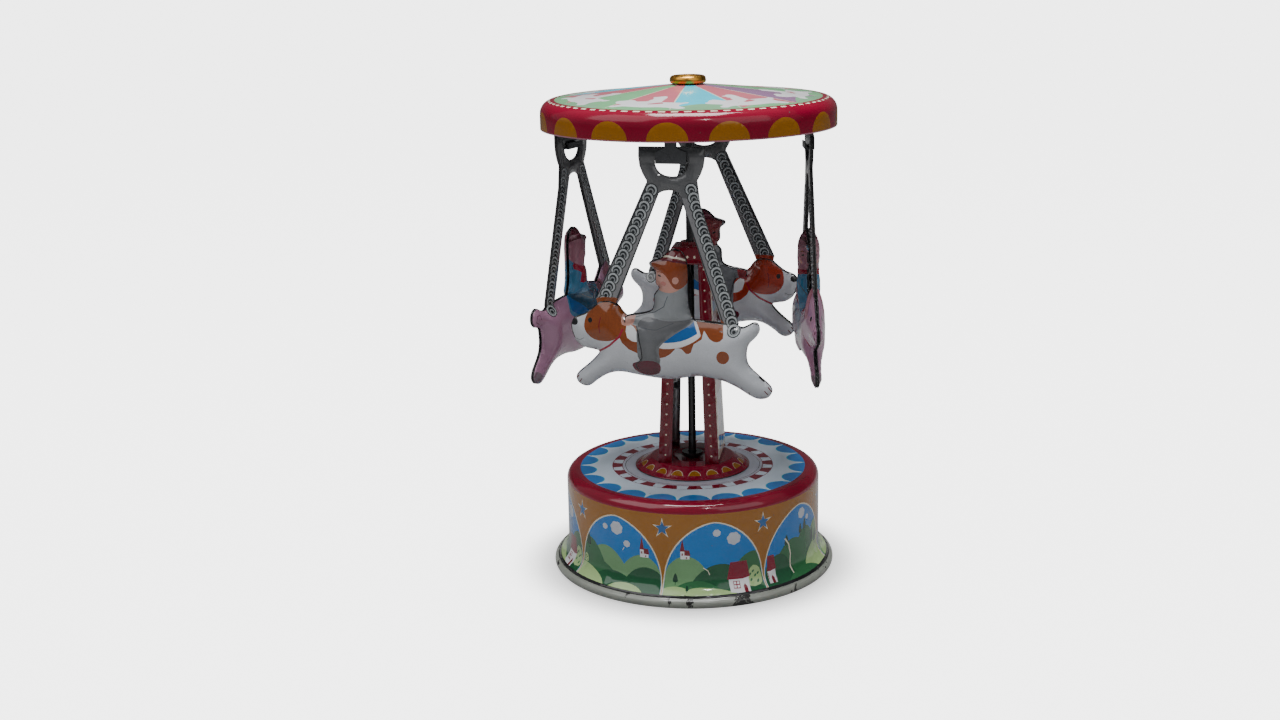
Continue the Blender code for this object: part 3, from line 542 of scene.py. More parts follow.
def church(x, z):
    """A white church with red roofs, a door and a window."""
    return [
        ([(x - 1.5, z), (x + 0.2, z), (x + 0.2, z + 3.0), (x - 1.5, z + 3.0)], "white"),
        ([(x - 1.7, z + 3.0), (x + 0.4, z + 3.0), (x - 0.65, z + 8.0)], "dark_red"),
        ([(x + 0.2, z), (x + 2.4, z), (x + 2.4, z + 1.5), (x + 0.2, z + 1.7)], "white"),
        ([(x + 0.2, z + 1.5), (x + 2.8, z + 1.3), (x + 2.3, z + 3.4), (x + 0.2, z + 3.6)], "dark_red"),
        (box(x - 1.0, x - 0.4, z + 1.4, z + 2.3), "dark_red"),
        (box(x + 0.9, x + 1.4, z + 0.2, z + 0.9), "dark_red"),
    ]


def house(x, z, size):
    """A white cottage with a red roof, a window and a round-topped door."""
    def at(points):
        return [(x + px * size, z + pz * size) for px, pz in points]
    picture = [
        (at([(-4.1, 0.2), (-4.4, 4.4), (4.4, 4.4), (3.9, -0.5), (0.0, -0.4)]), "white"),
        (at([(-5.0, 4.0), (-3.6, 10.2), (3.5, 10.2), (4.9, 4.3), (1.8, 3.8)]), "red"),
        (at([(-2.6, 1.0), (0.2, 0.9), (0.2, 3.2), (-2.6, 3.3)]), "red"),
        (at([(1.5, -0.45), (3.0, -0.5), (3.0, 1.3), (2.2, 2.2), (1.5, 1.4)]), "dark_red"),
    ]
    for px, pz in ((-2.35, 1.25), (-1.0, 1.2), (-2.35, 2.3), (-1.0, 2.25)):
        picture.append((at(box(px, px + 0.95, pz, pz + 0.75)), "white"))
    return picture


def bush(x, z, size):
    """A round bush with leaves dotted over it."""
    outline = [(-1.0, 0.0), (-0.9, 1.3), (-0.2, 2.1), (0.7, 1.7), (1.0, 0.5)]
    points = [(x + px * size, z + pz * size) for px, pz in outline] + [(x + size * 0.6, z - 0.2)]
    picture = [(smooth(points, 2), "pale_green")]
    for px, pz in ((-0.5, 0.5), (0.1, 0.9), (-0.2, 1.4), (0.5, 1.1), (0.4, 0.3), (-0.6, 1.1)):
        leaf = ellipse(x + px * size, z + pz * size, 0.22 * size, 0.13 * size, 6, 40.0)
        picture.append((leaf, "mid_green"))
    return picture


def fir(x, z, size):
    return [(smooth([(x - size * 0.45, z), (x - size * 0.5, z + size * 0.6), (x, z + size * 1.7),
                     (x + size * 0.5, z + size * 0.6), (x + size * 0.45, z)], 2), "tree_green"),
            (box(x - 0.12, x + 0.12, z - size * 0.5, z + 0.05), "tree_green")]


def trail(points, width=0.35):
    return stroke(points, width), "cream"


def star(x, z, size):
    def spikes(outer, inner):
        points = []
        for i in range(10):
            reach = outer if i % 2 == 0 else inner
            angle = math.radians(90.0 + 36.0 * i)
            points.append((x + reach * math.cos(angle) * 1.1, z + reach * math.sin(angle)))
        return points
    return [(spikes(size, size * 0.30), "cream"), (spikes(size * 0.70, size * 0.31), "star_blue")]


def right_of(polygon, limit):
    """The part of a polygon to the right of an upright line."""
    kept = []
    for (ax, az), (bx, bz) in zip(polygon, polygon[1:] + polygon[:1]):
        if ax >= limit:
            kept.append((ax, az))
        if (ax >= limit) != (bx >= limit):
            kept.append((limit, az + (bz - az) * (limit - ax) / (bx - ax)))
    return kept


def village_arch(c):
    """Church on a hill, cottage and clouds."""
    picture = [hill(c, -12.5, 13.0, 19.2, "soft_green"), hill(c, 17.5, 13.0, 19.4, "mid_green"),
               hill(c, 2.5, 15.0, 15.8, "deep_green")]
    picture += church(c - 13.2, 18.0)
    picture += [cloud(c + 8.5, 25.2, 2.3), cloud(c + 1.0, 27.8, 1.3)]
    picture += [trail([(c - 5.0, 14.6), (c - 3.0, 13.4), (c - 2.2, 11.8)])]
    picture += [hill(c, -8.0, 12.0, 9.6, "mid_green"), hill(c, 11.0, 11.5, 9.0, "deep_green")]
    picture += fir(c - 17.0, 9.2, 2.0)
    picture += [hill(c, -17.0, 9.0, 7.6, "pale_green"), hill(c, -1.5, 12.0, 7.3, "pale_green", lean=-5.0)]
    picture += bush(c + 18.0, 6.6, 3.4)
    picture += house(c + 10.6, 5.2, 1.06)
    picture += fir(c - 12.0, 6.3, 1.1)
    return picture


def valley_arch(c):
    """Rolling hills with a church far right and three clouds."""
    picture = [hill(c, -6.0, 15.0, 19.4, "soft_green"), hill(c, 12.0, 13.0, 18.4, "soft_green", lean=1.0),
               hill(c, -17.0, 13.0, 20.5, "mid_green"), hill(c, 15.0, 12.0, 13.8, "deep_green")]
    picture += church(c + 13.8, 17.6)
    picture += [cloud(c + 0.5, 27.2, 2.4), cloud(c - 6.0, 26.8, 1.1), cloud(c + 5.8, 21.8, 1.25)]
    picture += [trail([(c + 3.6, 19.0), (c + 4.4, 20.2)], 0.25)]
    picture += fir(c - 17.4, 17.2, 3.0)
    picture += [hill(c, -14.0, 18.0, 13.6, "mid_green"), hill(c, -1.0, 13.0, 10.2, "deep_green")]
    picture += [hill(c, -18.0, 14.0, 9.6, "pale_green", lean=-3.0), hill(c, 6.0, 9.0, 7.0, "pale_green")]
    picture += bush(c - 19.6, 10.0, 1.5)
    return picture


def path_arch(c):
    """A dark wooded hill with a long pale path."""
    picture = [hill(c, 17.0, 13.0, 22.5, "soft_green"), hill(c, -4.5, 15.0, 19.8, "mid_green"),
               hill(c, 5.5, 12.0, 22.2, "mid_green"), hill(c, -14.0, 10.0, 15.5, "deep_green")]
    picture += fir(c + 1.0, 20.4, 2.3) + fir(c + 4.8, 21.0, 2.6) + fir(c - 9.0, 18.0, 2.4)
    picture += [cloud(c + 2.0, 28.0, 2.0), cloud(c + 7.2, 25.3, 1.0)]
    path = [(-10.0, 20.6), (-7.6, 18.0), (-6.4, 14.0), (-6.8, 9.0), (-5.6, 5.4)]
    picture += [trail([(c + x, z) for x, z in path], 0.7)]
    picture += [hill(c, 16.0, 14.0, 14.5, "pale_green", lean=3.0), hill(c, 1.0, 12.0, 7.4, "mid_green")]
    picture += fir(c + 12.5, 14.6, 3.4) + fir(c + 17.0, 13.0, 3.0)
    cottage = [(right_of(polygon, c - 20.4), ink) for polygon, ink in house(c - 20.2, 6.2, 0.95)]
    return picture + [(polygon, ink) for polygon, ink in cottage if len(polygon) > 2]


def meadow_arch(c):
    """Open meadow with bushes and one cloud."""
    picture = [hill(c, -10.0, 14.0, 17.0, "soft_green"), hill(c, 10.0, 15.0, 20.4, "mid_green"),
               hill(c, -2.0, 14.0, 13.6, "deep_green")]
    picture += [cloud(c - 4.0, 26.8, 2.4), cloud(c + 6.0, 25.0, 1.2)]
    picture += fir(c + 8.0, 18.0, 2.8) + fir(c + 13.0, 16.0, 2.2)
    picture += [hill(c, -9.0, 12.0, 9.4, "pale_green"), hill(c, 12.0, 10.0, 8.4, "pale_green")]
    picture += bush(c - 8.0, 9.0, 2.2) + house(c + 2.5, 6.6, 0.8)
    return picture


RINGS = {"field": 2.0, "line": 26.0, "blocks_in": 27.5, "blocks_out": 31.0, "border": 43.7}
BAND = {"top": 35.1, "foot": 5.0}


def top_prints():
    """The drum's top: a pale field, a ring of red blocks between two lines, and blue scallops outside."""
    first, last, border = (on_top(RINGS[name]) for name in ("blocks_in", "blocks_out", "border"))
    line = RINGS["line"]
    prints = [around(on_top(RINGS["field"]), on_top(27.2), "lilac"),
              around(on_top(line), on_top(line + 0.25), "crease"),
              around(on_top(27.2), first, "red"), around(last, on_top(31.3), "red")]
    for i in range(20):
        middle = -171.0 + 18.0 * i
        inner = [(middle - 4.3 + 8.6 * k / 4, first) for k in range(5)]
        outer = [(middle + 5.6 - 11.2 * k / 4, last) for k in range(5)]
        prints.append((inner + outer, "red"))
    lobes = 22
    for i in range(lobes):
        middle = -180.0 + 360.0 / lobes * (i + 0.5)
        for grow, ink in ((0.0, "cyan"), (0.45, "scallop_blue")):
            half = 360.0 / lobes / 2 - grow * 0.9
            edge = []
            for k in range(13):
                t = -1.0 + 2.0 * k / 12
                edge.append((middle + half * t, border - (6.3 - grow) * (1.0 - t * t) ** 0.5))
            edge += [(middle + half * t, border + 0.3) for t in (0.99, 0.5, 0.0, -0.5, -0.99)]
            prints.append((edge, ink))
    return prints


def drum_prints():
    """The whole drum: its top, then the wall's sky, pictures, pillars with stars, and the black foot."""
    prints = top_prints()
    band, end = wall(BAND["top"]), DRUM_LENGTH[-1] + 1.0
    prints += [around(on_top(RINGS["border"]), band, "red"), around(band, end, "sky")]
    cusp = -15.3 + TURN
    scenes = {0: village_arch, -1: valley_arch, 1: path_arch, 2: meadow_arch, -2: village_arch,
              3: valley_arch, -3: path_arch, -4: meadow_arch, 4: meadow_arch}
    for i, painter in scenes.items():
        picture = painter(cusp + ARCH["pitch"] * (i + 0.5))
        prints += [(up_wall(dense(polygon, 2.5, 3.0)), ink) for polygon, ink in picture]
    for i in range(-4, 5):
        middle = cusp + ARCH["pitch"] * i
        for shrink, ink in ((0.0, "cream"), (0.40, "orange")):
            prints.append((up_wall(dense(pillar(middle, shrink), 2.5, 3.0)), ink))
        prints += [(up_wall(polygon), ink) for polygon, ink in star(middle, 29.6, 4.2)]
    prints.append(around(wall(BAND["foot"]), end, "black"))
    return prints


def drum_painted_shade(flat):
    """Painted shade on the print: a little darker towards the flange, which faces down."""
    depth = np.clip((flat[:, 1] - wall(14.0)) / 20.0, 0.0, 1.0)
    return 1.0 - 0.18 * depth


def make_drum():
    """The printed drum, with the winding key's hole cut through the wall at the back."""
    height = wall(KEY_HOLE["z"])
    across = math.degrees(KEY_HOLE["radius"] / DRUM["radius"])
    holes = [ellipse(seam, height, across, KEY_HOLE["radius"], 28) for seam in (-180.0, 180.0)]
    # the print is darkened towards the flange as painted shade
    piece = round_sheet("drum_printed", DRUM_POINTS, drum_prints(), "field", drum_painted_shade, 0.4, holes)
    ride(piece, "base", "base_drum")


def make_rim():
    """The rolled rim round the foot, and the board that closes the drum from below."""
    inner = [(52.75, 0.80), (52.75, 1.25), (53.3, 1.4), (53.35, 4.35)]
    rim = turned("rolled_rim", arc(52.9, 2.25, 1.8, 75.0, -75.0, 12) + inner, RIM_TIN, 160)
    ride(rim, "base", "base_rim")
    section = [(0.0, 1.6), (51.0, 1.6), (51.4, 3.6), (53.0, 3.6), (53.1, 1.7), (52.5, 1.5), (52.5, 0.3),
               (52.2, 0.0), (0.0, 0.0)]
    plate = turned("bottom_board", section, BLACK_BOARD, 128)
    ride(plate, "base", "bottom_plate")


# ---------------------------------------------------------------- tower

def foot_prints(length_at):
    """Orange half rounds with cream edges round the dome."""
    prints = []
    for i in range(18):
        middle = -180.0 + 20.0 * (i + 0.5)
        for half, high, ink in ((6.9, 2.7, "cream"), (6.4, 2.5, "orange")):
            low = length_at(20.0)
            edge = [(middle + half * math.cos(math.pi * k / 10), low - high * math.sin(math.pi * k / 10))
                    for k in range(11)]
            prints.append((edge, ink))
    return prints


def make_foot():
    points = [(2.9, 42.8), (10.0, 42.8)] + arc(15.4, 40.8, 2.0, 90.0, 52.0, 5) + [(20.3, 40.2)]
    points += arc(21.4, 40.7, 1.2, 225.0, 262.0, 4) + [(22.2, 39.35)]
    length, radius, _ = profile(points)
    prints = foot_prints(lambda r: float(np.interp(r, radius, length)))
    piece = round_sheet("tower_dome", points, prints, "red")
    ride(piece, "base", "tower_foot")


TOWER = {"low": 42.85, "high": 119.6, "half_low": 11.7, "half_high": 8.3, "strip_low": 5.2,
         "strip_high": 4.2}


def tower_panel(side):
    """Corner positions of one folded channel at each height: u runs 0-1 on the front strip, 1-2 across
    the side panel and 2-3 on the rear strip."""
    bend = 0.05

    def place(flat):
        u, z = flat[:, 0], flat[:, 1]
        t = (z - TOWER["low"]) / (TOWER["high"] - TOWER["low"])
        half = TOWER["half_low"] + (TOWER["half_high"] - TOWER["half_low"]) * t
        strip = TOWER["strip_low"] + (TOWER["strip_high"] - TOWER["strip_low"]) * t
        lip = half - strip
        knots = np.array([0.0, 1.0 - 2 * bend, 1.0, 1.0 + bend, 2.0 - bend, 2.0, 2.0 + 2 * bend, 3.0])
        x_share = np.array([0.0, 0.94, 0.985, 1.0, 1.0, 0.985, 0.94, 0.0])
        y_share = np.array([-1.0, -1.0, -0.99, -0.96, 0.96, 0.99, 1.0, 1.0])
        x = lip + (half - lip) * np.interp(u, knots, x_share)
        y = half * np.interp(u, knots, y_share)
        return np.stack((side * x, y, z), axis=1)
    return place


def soldier():
    """A plain toy guardsman for the side panel, as (outline, ink) in panel units and mm."""
    def mid(points):
        return [(1.5 + x / 20.0, z) for x, z in points]
    figure = [
        (mid(box(-9.2, 9.2, 44.5, 118.6)), "cream"),
        (mid([(-5.2, 47.0), (-0.6, 47.0), (-0.6, 54.6), (-5.0, 54.6)]), "jacket_dark"),
        (mid([(0.6, 47.0), (5.2, 47.0), (5.0, 54.6), (0.6, 54.6)]), "jacket_dark"),
        (mid([(-5.0, 54.6), (-0.4, 54.6), (-0.4, 70.0), (-5.4, 70.0)]), "lilac"),
        (mid([(0.4, 54.6), (5.0, 54.6), (5.4, 70.0), (0.4, 70.0)]), "lilac"),
        (mid([(-6.2, 69.0), (6.2, 69.0), (6.6, 92.0), (-6.6, 92.0)]), "red"),
        (mid([(-9.0, 74.0), (-6.6, 73.0), (-6.2, 91.0), (-8.4, 90.0)]), "red"),
        (mid([(6.6, 73.0), (9.0, 74.0), (8.4, 90.0), (6.2, 91.0)]), "red"),
        (mid(box(-6.3, 6.3, 76.0, 78.4)), "white"),
        (mid([(-1.2, 79.0), (1.2, 79.0), (1.2, 92.0), (-1.2, 92.0)]), "white"),
        (mid(ellipse(0.0, 96.5, 4.4, 5.0)), "skin"),
        (mid([(-4.8, 98.6), (4.8, 98.6), (5.4, 112.0), (-5.4, 112.0)]), "jacket"),
        (mid(box(-5.0, 5.0, 98.6, 100.4)), "orange"),
        (mid(ellipse(-1.7, 96.6, 0.5, 0.6, 8)), "black"),
        (mid(ellipse(1.7, 96.6, 0.5, 0.6, 8)), "black"),
        (mid(ellipse(0.0, 93.8, 1.3, 0.4, 8)), "lip"),
    ]
    for z in (80.5, 84.5, 88.5):
        for x in (-3.4, 3.4):
            figure.append((mid(ellipse(x, z, 0.8, 0.8, 8)), "orange"))
    return figure


def make_tower():
    for name, side in (("tower_left", -1), ("tower_right", 1)):
        low, high = TOWER["low"], TOWER["high"]
        rows = np.linspace(low, high, 24)
        knots = [0.0, 0.5, 0.9, 1.0, 1.05, 1.25, 1.5, 1.75, 1.95, 2.0, 2.1, 2.5, 3.0]
        outline = [(u, low) for u in knots] + [(3.0, z) for z in rows[1:-1]]
        outline += [(u, high) for u in knots[::-1]] + [(0.0, z) for z in rows[1:-1][::-1]]
        prints = [(dense(polygon, 0.2, 6.0), ink) for polygon, ink in soldier()]
        pitch = 4.0
        for middle in (0.46, 2.54):
            for i in range(int((high - low) / pitch)):
                prints.append((ellipse(middle, low + 3.0 + pitch * i, 0.075, 0.37, 10), "cream"))
        free = [(u, z) for u in knots[1:-1] for z in rows[1:-1]]
        flat, kept = triangulate([outline], [], prints, free)
        piece = sheet_object(f"{name}_printed", flat, kept, tower_panel(side), None, 0.4, base="dark_red",
                             flip=side < 0)
        ride(piece, "base", name)


def make_tower_cap():
    """The capped top of the tower: four sloping printed sides and a flat top round the bush."""
    low, high, half_low, half_high, bore = 119.65, 125.9, 8.3, 6.3, 2.75

    def place(flat):
        u, v = flat[:, 0], flat[:, 1]
        side = np.floor(np.clip(u, 0.0, 3.9999)).astype(int)
        across = (u - side) * 2.0 - 1.0
        t = np.clip(v, 0.0, 1.0)
        inward = np.clip(v - 1.0, 0.0, 1.0)
        half = half_low + (half_high - half_low) * t
        half = half * (1.0 - inward) + bore * inward
        round_off = 1.0 - 0.012 * np.abs(across) ** 6
        x, y = across * half * round_off, -half * round_off
        turn = np.radians(90.0 * side)
        z = low + (high - low) * t - 0.25 * np.clip(1.0 - np.abs(v - 1.0) / 0.12, 0.0, 1.0)
        # Towards the bore the square turns into a circle.
        radius = np.maximum(np.hypot(x, y), 1e-6)
        rounder = np.where(inward > 0.0, 1 - inward + inward * bore / radius, 1.0)
        x, y = x * rounder, y * rounder
        return np.stack((x * np.cos(turn) - y * np.sin(turn), x * np.sin(turn) + y * np.cos(turn), z), axis=1)

    columns = np.linspace(0.0, 4.0, 33)
    rows = [0.0, 0.3, 0.6, 0.88, 0.96, 1.0, 1.06, 1.3, 1.7, 2.0]
    outline = [(u, 0.0) for u in columns] + [(4.0, v) for v in rows[1:-1]]
    outline += [(u, 2.0) for u in columns[::-1]] + [(0.0, v) for v in rows[1:-1][::-1]]
    prints = []
    for side in range(4):
        for k in range(5):
            prints.append((ellipse(side + 0.14 + 0.18 * k, 0.42, 0.030, 0.085, 10), "cream"))
    flat, kept = triangulate([outline], [], prints, [(u, v) for u in columns[1:-1] for v in rows[1:-1]])
    piece = sheet_object("tower_cap_printed", flat, kept, place, None, 0.4, base="dark_red")
    ride(piece, "base", "tower_cap")


# ---------------------------------------------------------------- canopy

def canopy_profile():
    points = [(2.2, 186.2), (7.0, 185.7), (14.0, 184.95), (24.0, 183.85), (36.0, 182.5), (44.0, 181.65),
              (49.6, 181.05)]
    points += arc(50.2, 176.3, 4.75, 90.0, 0.0, 9)[1:]
    return points + [(55.0, 175.0), (55.0, 173.0), (55.0, 170.65)]


CANOPY_POINTS = canopy_profile()
CANOPY_LENGTH, CANOPY_R, CANOPY_Z = profile(CANOPY_POINTS)


def roof(r):
    flat_part = CANOPY_R < 50.2
    return float(np.interp(r, CANOPY_R[flat_part], CANOPY_LENGTH[flat_part]))


def skirt(z):
    side = CANOPY_LENGTH > roof(50.0)
    return float(np.interp(-z, -CANOPY_Z[side], CANOPY_LENGTH[side]))


SECTOR_INKS = ("roof_violet", "roof_pink", "roof_cyan", "roof_pink", "roof_green", "roof_pink", "roof_cyan",
               "roof_pink", "roof_violet", "roof_green", "roof_pink", "roof_green")
ROOF = {"hub": 6.0, "rim": 50.1, "ground": 41.0, "feet": 47.0, "beast_scale": 0.40}


def roof_prints():
    """Coloured sectors with cream lines between them, grass near the rim, and animals standing on it."""
    sector = 30.0
    hub, rim = roof(ROOF["hub"]), roof(ROOF["rim"])
    prints = []
    for i, ink in enumerate(SECTOR_INKS):
        low, high = -180.0 + sector * i, -150.0 + sector * i
        prints.append(([(low, hub), (high, hub), (high, rim), (low, rim)], ink))
    for i in range(12):
        middle = -165.0 + sector * i
        inner = ROOF["ground"] + 2.5 * math.cos(i * 1.7)
        grass = [(middle - 16.0 + 32.0 * k / 10, roof(inner + 6.5 * (abs(k - 5) / 5.0) ** 1.6))
                 for k in range(11)]
        grass += [(middle + 16.0 - 32.0 * k / 10, rim) for k in range(11)]
        prints.append((grass, "roof_green" if i % 2 else "mint"))
    for i in range(13):
        line = -180.0 + sector * i
        prints.append(([(line - 0.8, roof(12.0)), (line + 0.8, roof(12.0)), (line + 0.22, roof(47.5)),
                        (line - 0.22, roof(47.5))], "cream"))
    for i in range(8):
        middle = 40.0 + 360.0 / 7 * (i - 4)
        for outline, ink in ((DOG if i % 2 else PIG, "white"), (RIDER, "white"), (SADDLE, "roof_pink")):
            prints.append((roof_animal(outline, middle, ROOF["feet"], ROOF["beast_scale"]), ink))
    return prints


def canopy_prints():
    """The roof, then the red skirt with its row of dashes, orange half rounds and pink hem."""
    prints = roof_prints()
    end = CANOPY_LENGTH[-1] + 1.0
    prints.append(around(roof(49.5), end, "red"))
    dashes, dash = 72, skirt(180.85)
    for i in range(dashes):
        middle = -180.0 + 360.0 / dashes * (i + 0.5)
        prints.append(([(middle - 1.25, dash - 0.45), (middle + 1.25, dash - 0.45), (middle + 1.45, dash),
                        (middle + 1.25, dash + 0.45), (middle - 1.25, dash + 0.45), (middle - 1.45, dash)],
                       "cream"))
    low = skirt(171.1)
    for i in range(17):
        middle = -180.0 + 22.5 * i
        edge = [(middle + 7.6 * math.cos(math.pi * k / 16), low - 6.5 * math.sin(math.pi * k / 16))
                for k in range(17)]
        prints.append((edge, "orange"))
    prints.append(around(low, end, "rose"))
    return prints


def roof_animal(outline, middle, feet_radius, scale):
    """An animal's outline laid on the roof with its feet towards the rim."""
    low = min(z for _, z in DOG)
    points = []
    for x, z in outline:
        radius = feet_radius - (z - low) * scale
        points.append((middle + math.degrees(x * scale / radius), roof(radius)))
    return points


def make_canopy():
    """The printed roof and the gold knob over it."""
    piece = round_sheet("canopy_printed", CANOPY_POINTS, canopy_prints(), "rose",
                        materials=(ROOF_PRINT, INSIDE, CUT_EDGE))
    ride(piece, "carousel", "canopy")
    section = [(0.0, 187.75), (1.2, 187.75), (2.4, 187.9), (3.6, 188.35), (4.6, 188.95), (5.3, 189.1),
               (6.0, 188.95), (6.55, 188.45), (6.8, 187.6), (6.75, 186.9), (6.5, 186.35), (5.9, 186.2),
               (1.75, 186.6), (1.75, 187.4), (0.0, 187.4)]
    ride(turned("knob_gold", section, GOLD, 64), "carousel", "knob")


# ---------------------------------------------------------------- swings
# Outlines in mm: along the swing from head (-) to tail (+), and height above the ground.

HANGER = [
    (-11.8, 168.1), (-11.9, 164.6), (-11.5, 161.4), (-10.4, 158.6), (-9.1, 156.4), (-8.9, 155),
    (-9.2, 153.6), (-4.9, 151.7), (-3.2, 152.6), (-1, 153), (1.4, 152.8), (2.8, 152.1), (9.4, 151.6),
    (8.8, 154.6), (9, 156.4), (10.3, 158.7), (11.3, 161.4), (11.8, 164.6), (11.8, 168.1)]
WINDOW = [
    (-6.1, 163.4), (-6.1, 161.9), (-5.5, 160.3), (-4.3, 158.9), (-2.4, 158), (0, 157.7), (2.4, 158),
    (4.3, 158.9), (5.5, 160.3), (6.1, 161.9), (6.1, 163.4)]
HEAD_ARM = [(-9.2, 155.5), (-28.6, 113.6), (-27.5, 109.5), (-22.3, 109.5), (-4.9, 151.7), (-4, 156)]
TAIL_ARM = [(9, 156.5), (10, 148.2), (23.5, 106.2), (22, 103), (18.5, 103), (2.8, 152.1), (3.5, 156)]
RIDER = [
    (6.8, 106.4), (5.6, 111.5), (5.2, 118.1), (5.3, 125.1), (4, 130.4), (1, 132.4), (-2.1, 131.2),
    (-4.4, 129), (-8.3, 127.7), (-8.4, 126.2), (-6.5, 124.5), (-6.4, 120.2), (-5.2, 118.2), (-7, 115.8),
    (-7.4, 111), (-10.2, 109.3), (-14.9, 108.4), (-17.6, 107.6), (-17.6, 105.4), (-13.4, 104.6), (-12, 99.5),
    (-11, 93.3), (-13.4, 91), (-13, 88.6), (-9.6, 87.4), (-5.6, 88.4), (-5, 91), (-5.2, 97.7), (0.6, 102.6)]
DOG = [
    (-37, 106.2), (-38.2, 103.4), (-37.6, 100.2), (-36.2, 97.4), (-33.2, 95.4), (-30, 94.8), (-28, 94.2),
    (-28.6, 92.8), (-31.7, 89.7), (-35.8, 86.2), (-36.8, 84), (-35.9, 82), (-33.5, 80.9), (-31.2, 81.4),
    (-28.4, 83.6), (-24.4, 86), (-19.6, 86.9), (-12.2, 85.9), (-3.9, 85.1), (2.5, 85.6), (8, 86.6),
    (12.5, 86.4), (18.3, 85.2), (23.4, 83), (28, 80.3), (31.2, 79.4), (34.2, 80.2), (35.5, 82.4),
    (34.6, 84.6), (31, 87.7), (27.6, 90.8), (26.4, 93.4), (26.4, 96.8), (27.4, 99.4), (29.9, 102),
    (31, 104.4), (30.4, 106.6), (28.6, 107), (26.4, 105.8), (24.4, 105.2), (21.8, 106.3), (17.5, 106.4),
    (6.8, 107.3), (-8, 107.6), (-15.5, 107.2), (-18.4, 108.8), (-20.4, 111.4), (-23.4, 112.8),
    (-27.2, 112.4), (-29.8, 110.3), (-33, 107.9)]
PIG = [
    (-33.6, 106.8), (-35.6, 104), (-38.6, 102.6), (-39.6, 100), (-39.2, 97.4), (-36.2, 96.2), (-32.8, 94.4),
    (-29, 93), (-28.6, 91.2), (-31.6, 88.2), (-35.4, 84.8), (-36.2, 82.4), (-34.8, 80.2), (-32, 79.6),
    (-29.4, 81), (-26.4, 83.4), (-22, 85.2), (-17, 85), (-8, 83.9), (2, 83.8), (10, 84.8), (17.5, 84.4),
    (22.6, 82.2), (27.2, 79), (30.6, 77.9), (33.8, 78.8), (35.2, 81.2), (34, 84), (30.8, 87.4), (28.4, 91),
    (28.2, 95.4), (29.2, 98.8), (32.2, 99.6), (34.2, 101.8), (33.8, 105), (31.2, 106.6), (28.6, 105.6),
    (25, 104.8), (21.8, 106.2), (17.5, 106.6), (6.8, 107.3), (-8, 107.6), (-16, 107.6), (-19, 110),
    (-21.6, 113.4), (-24.6, 115.2), (-26.4, 113.2), (-29, 112), (-31.4, 109.6)]
SADDLE = [
    (6.6, 107.2), (10, 103), (9.6, 101.6), (3.6, 98.8), (-2.5, 97.8), (-4.4, 99.6), (-0.6, 102.4),
    (3.4, 105.6)]

# Prints as rows of (kind, ink, detail, numbers): an "area" is a smooth outline with that many parts to each
# of its sides, a "line" a stroke of that width, and a "spot" an ellipse. The inks coat, trousers, face,
# locks, cap, stripe, patch and tie stand for the look's own.

DOG_PRINTS = [
    ("area", "dog_white", 2, DOG),
    ("area", "patch", 3, [
        (-19.2, 113.6), (-28, 113.8), (-31, 109.6), (-32.6, 106), (-32.4, 102.2), (-29.2, 99), (-24.2, 98.6),
        (-20, 100.2), (-18, 104.2), (-18, 109)]),
    ("area", "patch", 2, [
        (-18.6, 107), (-18.2, 98.6), (-12.4, 94.9), (-4.8, 93.4), (-0.4, 95.2), (1.6, 97.4), (3.8, 97.2),
        (5.4, 95.6), (7.2, 96.2), (8.2, 99.2), (11, 101), (11.6, 104), (13.8, 101.2), (16.4, 100.2),
        (18.6, 101.6), (18.2, 105.4), (17, 107.8), (6, 108.6)]),
    ("area", "white", 3, [
        (6.8, 108.2), (10.2, 103.4), (9.8, 101.2), (4, 98), (-3, 97), (-5.4, 98.4), (-4, 101.6), (2, 105)]),
    ("area", "saddle_blue", 3, [
        (6, 108.4), (8.9, 103.8), (8.6, 102.4), (3.4, 100), (-3.2, 99.2), (-3.4, 101), (2.4, 105)]),
    ("area", "white", 2, [(-16.8, 104.6), (-16.2, 100.4), (-12.6, 99), (-12.6, 102), (-14.4, 104.4)]),
    ("spot", "patch", None, (18.6, 94.8, 2.25, 2.35, 18)),
    ("spot", "black", None, (-37.2, 105.2, 2, 1.5, 12, -30)),
    ("spot", "black", None, (-30.6, 105.8, 0.85, 0.95, 10)),
    ("line", "dark_red", 0.34, [(-26.4, 107.2), (-27, 104), (-26.6, 101.4)]),
    ("line", "chain_mid", 0.34, [(-37.4, 98.9), (-34.8, 98.2), (-33, 99.2)]),
    ("line", "scarf", 0.75, [(-27.8, 94.2), (-23.2, 97), (-19.2, 100.6), (-18, 103.4)]),
]
